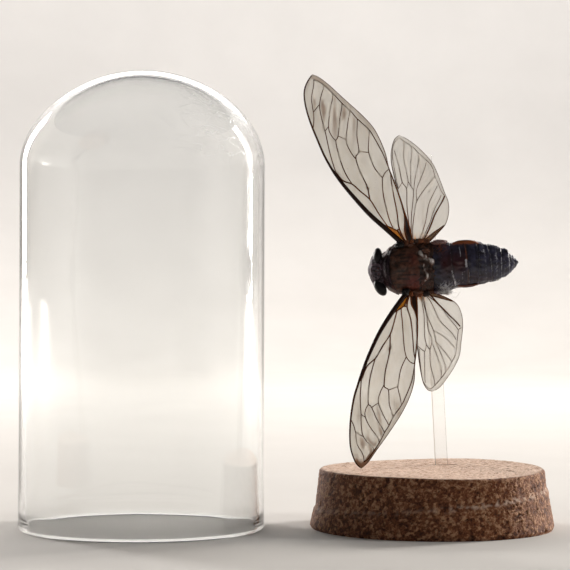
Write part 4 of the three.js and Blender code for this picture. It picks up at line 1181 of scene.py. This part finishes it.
def addWing(node, wing, materials):
    # the film's front and back sheets meet at its edges; it dips between veins and is stained beside them
    rows, columns = wing["rows"], wing["columns"]
    last = len(wing["lead"]) - 1
    station = np.linspace(0, last, rows)[:, None] + np.zeros((1, columns))
    share = np.linspace(0, 1, columns)[None, :] + np.zeros((rows, 1))
    sheet = onWing(wing, station, share)
    x, z = sheet[..., 0], sheet[..., 2]
    paths = [veinPath(wing, places)[0][:, ::2] for _, _, places in wing["veins"]]
    away = np.min([lineDistance(x, z, path[::2]) for path in paths], axis=0)
    fore = node.startswith("forewing")
    inner = fade(share, 0, 0.06) * (1 - fade(share, 0.94, 1))
    sheet[..., 1] += inner * (0.14 * fade(away, 0, 1.6) + 0.10 * ripples(sheet, 7.0, 71 + last))
    stain = 0.35 * np.exp(-(away / 0.25) ** 2)
    streaky = 0.25 + 0.75 * fade(ripples(sheet * (1, 1, 0.2), 1.1, 77), -0.7, 0.9)
    if fore:
        anal = np.interp(station, [0, 1.0, 2.15, 2.3], [0.60, 0.76, 0.985, 1.1])
        brown = fade(share - anal, -0.01, 0.02)
        border = np.interp(station, [4.6, 4.9, 7.9, 9.6, 11.3, 12.1, 12.9, 13.4],
                           [1.1, 1.0, .93, .88, .84, .78, .5, .2])
        smoky = fade(ripples(sheet * (1, 1, 0.3), 3.2, 76), -0.6, 1.4) * fade(share, 0, 0.3)
        stain = np.maximum(stain, 0.75 * smoky * fade(away, 0.1, 0.7) * fade(station, 6.5, 9.5))
        stain = np.maximum(stain, (0.3 + 0.3 * fade(station, 10, 13)) * fade(share - border, 0, 0.02))
        outline = np.concatenate([wing["lead"], wing["trail"][::-1]])
        rimmed = fade(-lineDistance(x, z, outline), -1.5, -0.9) * fade(station + share, 12.3, 13.0)
        stain = np.maximum(stain, 1.3 * wing["tipPatch"] * rimmed)
        brown += dab(station, share, (5.25, 0.03), (0.3, 0.05))
        brown += dab(station, share, (3.64, 0.42), (0.13, 0.03))
        cell = np.interp(station, [0, 0.1, 0.5, 0.98, 1.13, 1.29, 1.45], [.44, .44, .46, .46, .35, .23, .1])
        amber = fade(cell - share, -0.01, 0.02) * (1 - fade(station, 1.4, 1.5))
        amber = np.maximum(amber, 0.9 * streaky * (1 - fade(station, 0.35, 1.3)))
    else:
        fold = np.interp(station, [0, 0.3, 1.0, 1.8, 2.0], [0.62, 0.72, 0.86, 0.97, 1.1])
        folded = fade(share - fold, -0.01, 0.02)
        brown = 0.7 * folded + (stroke(x, z, wing["speck"], 0.14) if "speck" in wing else 0)
        stain = np.maximum(stain, 0.2 * fade(share, 0.93, 0.97) * fade(station, 4.4, 5.0))
        amber = np.maximum(0.5 * folded, 0.95 * streaky * (1 - fade(station, 0.15, 0.9)))
    thick = 0.03 * np.clip(np.minimum(np.arange(rows), rows - 1 - np.arange(rows)), 0, 1)[:, None]
    lift = np.stack([0 * x, thick + 0 * x, 0 * x], -1)
    shell = np.concatenate([sheet - lift, (sheet + lift)[:, ::-1]], 1)
    values = {"clear": 0.0 if fore else 0.7, "stain": stain, "amber": np.clip(amber, 0, 1),
              "brown": np.clip(brown, 0, 1), "speckled": 0.8 * inner * (1.0 if fore else 0.15)}
    values = {key: np.concatenate([value + 0 * x, (value + 0 * x)[:, ::-1]], 1)
              for key, value in values.items()}
    parts = [{"points": shell, "values": values}]
    for start, end, places in wing["veins"]:
        path, along = veinPath(wing, places)
        radius = np.linspace(start, end, len(path)) * (0.85 if fore else 0.7)
        warm = 0.3 + (0.45 if fore else 0.2) * (1 - fade(along, 1.0, 5.0))
        black = 0.75 * fade(0.9 - along, 0, 0.9) if fore else 0 * along
        grey = 0 * along if fore or start > 0.3 else 0.55 * fade(along, 0.8, 3.0)
        tints = {"warm": warm, "black": black, "grey": grey}
        parts.append({"points": tube(path, radius, 8), "material": 1, "values": {
            key: np.concatenate([value[:1], value, value[-1:]])[:, None] for key, value in tints.items()}})
    rootRadius, nodeRadius, tipRadius, nodeStation = wing["costa"]
    along = np.linspace(0, last - 0.25, 120)
    radius = np.interp(along, [0, nodeStation * 0.5, nodeStation, nodeStation + 0.5, nodeStation + 4, last],
                       [rootRadius, (rootRadius + nodeRadius) * 0.52, nodeRadius, nodeRadius * 0.8,
                        nodeRadius * 0.6, tipRadius])
    edge = onWing(wing, along, 0 * along)
    inward = onWing(wing, along, 0 * along + 0.02) - edge
    edge = edge + inward / np.linalg.norm(inward, axis=1, keepdims=True) * (radius * 0.85)[:, None]
    black = 0.75 - 0.35 * fade(along, nodeStation, nodeStation + 3)
    ends = np.concatenate([black[:1], black, black[-1:]])[:, None]
    tints = {"black": ends if fore else ends * 0.3, "warm": 0.3, "grey": 0.0 if fore else 0.5}
    parts.append({"points": tube(edge, radius, 12), "material": 1, "values": tints})
    makePiece(node.replace("_right", "Right").replace("_left", "Left"), placeAll(parts), materials,
              [node])


def addWings():
    materials = [newMaterial("dryWingMembrane", membraneTree), newMaterial("dryWingVein", veinTree)]
    for node, wing in wings.items():
        addWing(node, wing, materials)


addCamera()
addStudio()
addDome()
addCork()
addStrip()
addGlue()
addHead()
addPronotum()
addThorax()
addAbdomen()
addLegs()
addRostrum()
addWings()
